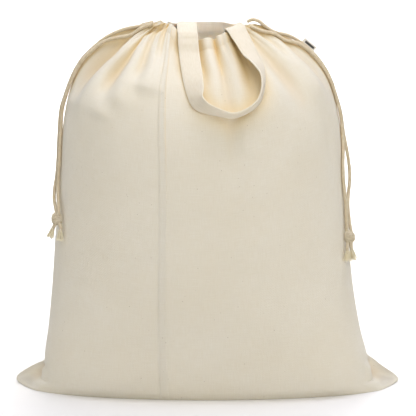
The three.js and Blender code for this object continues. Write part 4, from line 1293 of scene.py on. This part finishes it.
def braid_material():
    # Braided cotton cord: soft and yellower than the canvas, with painted shade darkening it between its
    # strands
    material, tree = new_material("Braided cotton cord")
    place = add_node(tree, "ShaderNodeTexCoord").outputs["Object"]
    fibres = grains(tree, place, (1400, 1400, 700))
    broad = grains(tree, place, (120, 120, 120))
    colour = tinted(tree, colours().braid, broad, 0.35, 0.7, 0.35, linear("#b59f74"))
    colour = tinted(tree, colour, fibres, 0.3, 0.75, 0.3, linear("#a48e66"))
    # Painted shade: darker where ambient occlusion finds strands close together
    between = add_node(tree, "ShaderNodeAmbientOcclusion", {"Distance": 0.0018}, samples=6).outputs["AO"]
    colour = tinted(tree, colour, between, 0.92, 0.45, 0.8, linear("#ae9868"))
    # Painted light: the loose fibres of a frayed end are painted pale, as if they caught more light
    loose = add_node(tree, "ShaderNodeAttribute", attribute_name="loose").outputs["Fac"]
    colour = tinted(tree, colour, loose, 0.0, 1.0, 1.0, linear("#f6ebc8"))
    close_material(tree, colour, fibres, deep=0.0004, strength=0.6, roughness=0.93, sheen=0.1, glow=0.4)
    return material


def thread_material():
    # Cotton sewing thread: fine, pale and a little shinier than the cloth
    material, tree = new_material("Cotton sewing thread")
    place = add_node(tree, "ShaderNodeTexCoord").outputs["Object"]
    fibres = grains(tree, place, (1500, 1500, 1500), 1.0)
    colour = tinted(tree, colours().thread, fibres, 0.3, 0.7, 0.25, linear("#c4b692"))
    close_material(tree, colour, fibres, deep=0.0002, strength=0.3, roughness=0.75)
    return material


def tape_material():
    # Woven polyester tape: smooth and pale, with one plain dark stripe woven beside its middle
    material, tree = new_material("Woven label tape")
    cloth = add_node(tree, "ShaderNodeUVMap", uv_map="Cloth").outputs["UV"]
    ways = add_node(tree, "ShaderNodeSeparateXYZ", {"Vector": cloth}).outputs
    # The stripe is about 20 mm long and 4 mm wide, and its middle is 1 mm along and 3 mm aside
    away = []
    for way, middle in (("X", 0.001), ("Y", 0.003)):
        past = add_node(tree, "ShaderNodeMath", {0: ways[way], 1: middle}, operation="SUBTRACT").outputs[0]
        away.append(add_node(tree, "ShaderNodeMath", {0: past}, operation="ABSOLUTE").outputs[0])
    in_length = add_node(tree, "ShaderNodeMapRange", {
        "Value": away[0], "From Min": 0.0103, "From Max": 0.0098}).outputs["Result"]
    colour = tinted(tree, colours().tape, away[1], 0.0023, 0.0019, in_length, colours().tape_stripe)
    close_material(tree, colour, weave(tree, cloth, 0.0006), deep=0.0002, strength=0.3, roughness=0.7)
    return material


def paper_material():
    # Matt backdrop paper: even and almost white
    material, tree = new_material("Backdrop paper")
    place = add_node(tree, "ShaderNodeTexCoord").outputs["Object"]
    fibres = grains(tree, place, (300, 300, 300), 1.0)
    colour = tinted(tree, colours().backdrop, fibres, 0.3, 0.7, 0.02, linear("#f0f0f0"))
    close_material(tree, colour, fibres, deep=0.0002, strength=0.05, roughness=0.95)
    return material


# Stage, in metres

CAMERA_AIM = Vector((0, 0, 0.3256))
CAMERA_AWAY = 3.6
CAMERA_RAISED = 10.0
CAMERA_LENS = 171.2
FLOOR_WIDE = 8.0
FLOOR_FRONT = -7.0
FLOOR_BACK = 5.6
FLOOR_BEND = 1.2
FLOOR_LOW = 0.0004
BACKDROP_HIGH = 7.0
ALL_ROUND_LIGHT = 0.16
LIGHTS = table(("name", "at", "aim", "size", "energy", "colour"), (
    ("Top light", (0.25, -0.1, 2.6), (0, 0, 0.3), 2.0, 38, "#f3f3ff"),
    ("Front light", (0.4, -3.0, 2.4), (0, 0, 0.35), 1.6, 46, "#fffaf3"),
    ("Right light", (2.4, -1.6, 1.4), (0, 0, 0.4), 1.6, 8, "#fffefa"),
    ("Left light", (-2.0, -0.8, 2.4), (0, 0, 0.4), 1.4, 12, "#ffffff"),
    ("Light from behind", (0.15, 1.5, 1.5), (0, 0.1, 0.6), 1.2, 11, "#fff6ea"),
    ("Backdrop light", (0, 3.2, 3.4), (0, 5.8, 0.4), 3.6, 330, "#ffffff"),
))


def aimed(name, data, at, aim):
    obj = add_object(name, data)
    obj.location = at
    obj.rotation_euler = (aim - at).to_track_quat("-Z", "Y").to_euler()
    return obj


def area_light(name, at, aim, size, energy, colour):
    lamp = bpy.data.lights.new(name, "AREA")
    lamp.shape = "DISK"
    lamp.size = size
    lamp.energy = energy
    lamp.color = linear(colour)
    return aimed(name, lamp, Vector(at), Vector(aim))


def make_camera():
    camera = bpy.data.cameras.new("Camera")
    camera.lens = CAMERA_LENS
    camera.sensor_width = 36
    raised = math.radians(CAMERA_RAISED)
    at = CAMERA_AIM + Vector((0, -math.cos(raised), math.sin(raised))) * CAMERA_AWAY
    bpy.context.scene.camera = aimed("Camera", camera, at, CAMERA_AIM)


def make_floor():
    """The floor, which bends up behind into the backdrop."""
    profile = [(FLOOR_FRONT, 0.0), (FLOOR_BACK, 0.0)]
    for turn in np.radians(np.arange(10, 91, 10)):
        profile.append((FLOOR_BACK + FLOOR_BEND * math.sin(turn), FLOOR_BEND * (1 - math.cos(turn))))
    profile.append((FLOOR_BACK + FLOOR_BEND, BACKDROP_HIGH))
    points = [(x, y, z - FLOOR_LOW) for y, z in profile for x in (-FLOOR_WIDE, FLOOR_WIDE)]
    faces = [(2 * i, 2 * i + 1, 2 * i + 3, 2 * i + 2) for i in range(len(profile) - 1)]
    mesh = bpy.data.meshes.new("Floor")
    mesh.from_pydata(points, [], faces)
    mesh.shade_smooth()
    mesh.materials.append(paper_material())
    return add_object("Floor", mesh)


def make_stage():
    make_camera()
    floor = make_floor()
    lamps = [area_light(**row) for row in LIGHTS]
    world = bpy.data.worlds.new("Studio")
    world.use_nodes = True
    background = world.node_tree.nodes["Background"].inputs
    background["Color"].default_value = (1, 1, 1, 1)
    background["Strength"].default_value = ALL_ROUND_LIGHT
    scene = bpy.context.scene
    scene.world = world
    scene.view_settings.view_transform = "Standard"
    scene.view_settings.look = "None"


# Operators, panel and registration

class BuildStep:
    """Runs the building function of an operator."""

    def execute(self, context):
        self.build()
        return {"FINISHED"}


class BAG_OT_stage(BuildStep, bpy.types.Operator):
    """Add the camera, the floor with its backdrop, and the lights"""
    bl_idname = "bag.stage"
    bl_label = "Stage"
    build = staticmethod(make_stage)


class BAG_OT_drawcords(BuildStep, bpy.types.Operator):
    """Add the four strands of braided drawcord and their two knots"""
    bl_idname = "bag.drawcords"
    bl_label = "Drawcords"
    build = staticmethod(make_drawcords)


class BAG_OT_panels(BuildStep, bpy.types.Operator):
    """Add the two front panels and the back panel of canvas"""
    bl_idname = "bag.panels"
    bl_label = "Panels"
    build = staticmethod(make_panels)


class BAG_OT_strap(BuildStep, bpy.types.Operator):
    """Add the handle strap of cotton webbing"""
    bl_idname = "bag.strap"
    bl_label = "Strap"
    build = staticmethod(make_strap)


class BAG_OT_label(BuildStep, bpy.types.Operator):
    """Add the plain woven label in the side seam"""
    bl_idname = "bag.label"
    bl_label = "Label"
    build = staticmethod(make_label)


class BAG_OT_stitches(BuildStep, bpy.types.Operator):
    """Add the stitches along the seams, the casing and the strap"""
    bl_idname = "bag.stitches"
    bl_label = "Stitches"
    build = staticmethod(make_stitches)


class BAG_PT_panel(bpy.types.Panel):
    """Sizes, colours and building steps of the laundry bag"""
    bl_label = "Laundry bag"
    bl_space_type = "VIEW_3D"
    bl_region_type = "UI"
    bl_category = "Laundry bag"

    def draw(self, context):
        for group in (context.scene.bag_sizes, context.scene.bag_colours):
            for name in group.__annotations__:
                self.layout.prop(group, name)
        for operator in OPERATORS:
            self.layout.operator(operator.bl_idname)


OPERATORS = (BAG_OT_stage, BAG_OT_drawcords, BAG_OT_panels, BAG_OT_strap, BAG_OT_label, BAG_OT_stitches)
CLASSES = (BagSizes, BagColours, *OPERATORS, BAG_PT_panel)


def register():
    for cls in CLASSES:
        bpy.utils.register_class(cls)
    bpy.types.Scene.bag_sizes = bpy.props.PointerProperty(type=BagSizes)
    bpy.types.Scene.bag_colours = bpy.props.PointerProperty(type=BagColours)


def unregister():
    del bpy.types.Scene.bag_colours
    del bpy.types.Scene.bag_sizes
    for cls in reversed(CLASSES):
        bpy.utils.unregister_class(cls)


def plain(box):
    return [[float(v) for v in corner] for corner in box]


def main():
    register()
    bpy.ops.bag.stage()
    bpy.ops.bag.drawcords()
    bpy.ops.bag.panels()
    bpy.ops.bag.strap()
    bpy.ops.bag.label()
    bpy.ops.bag.stitches()


if __name__ == "__main__":
    main()
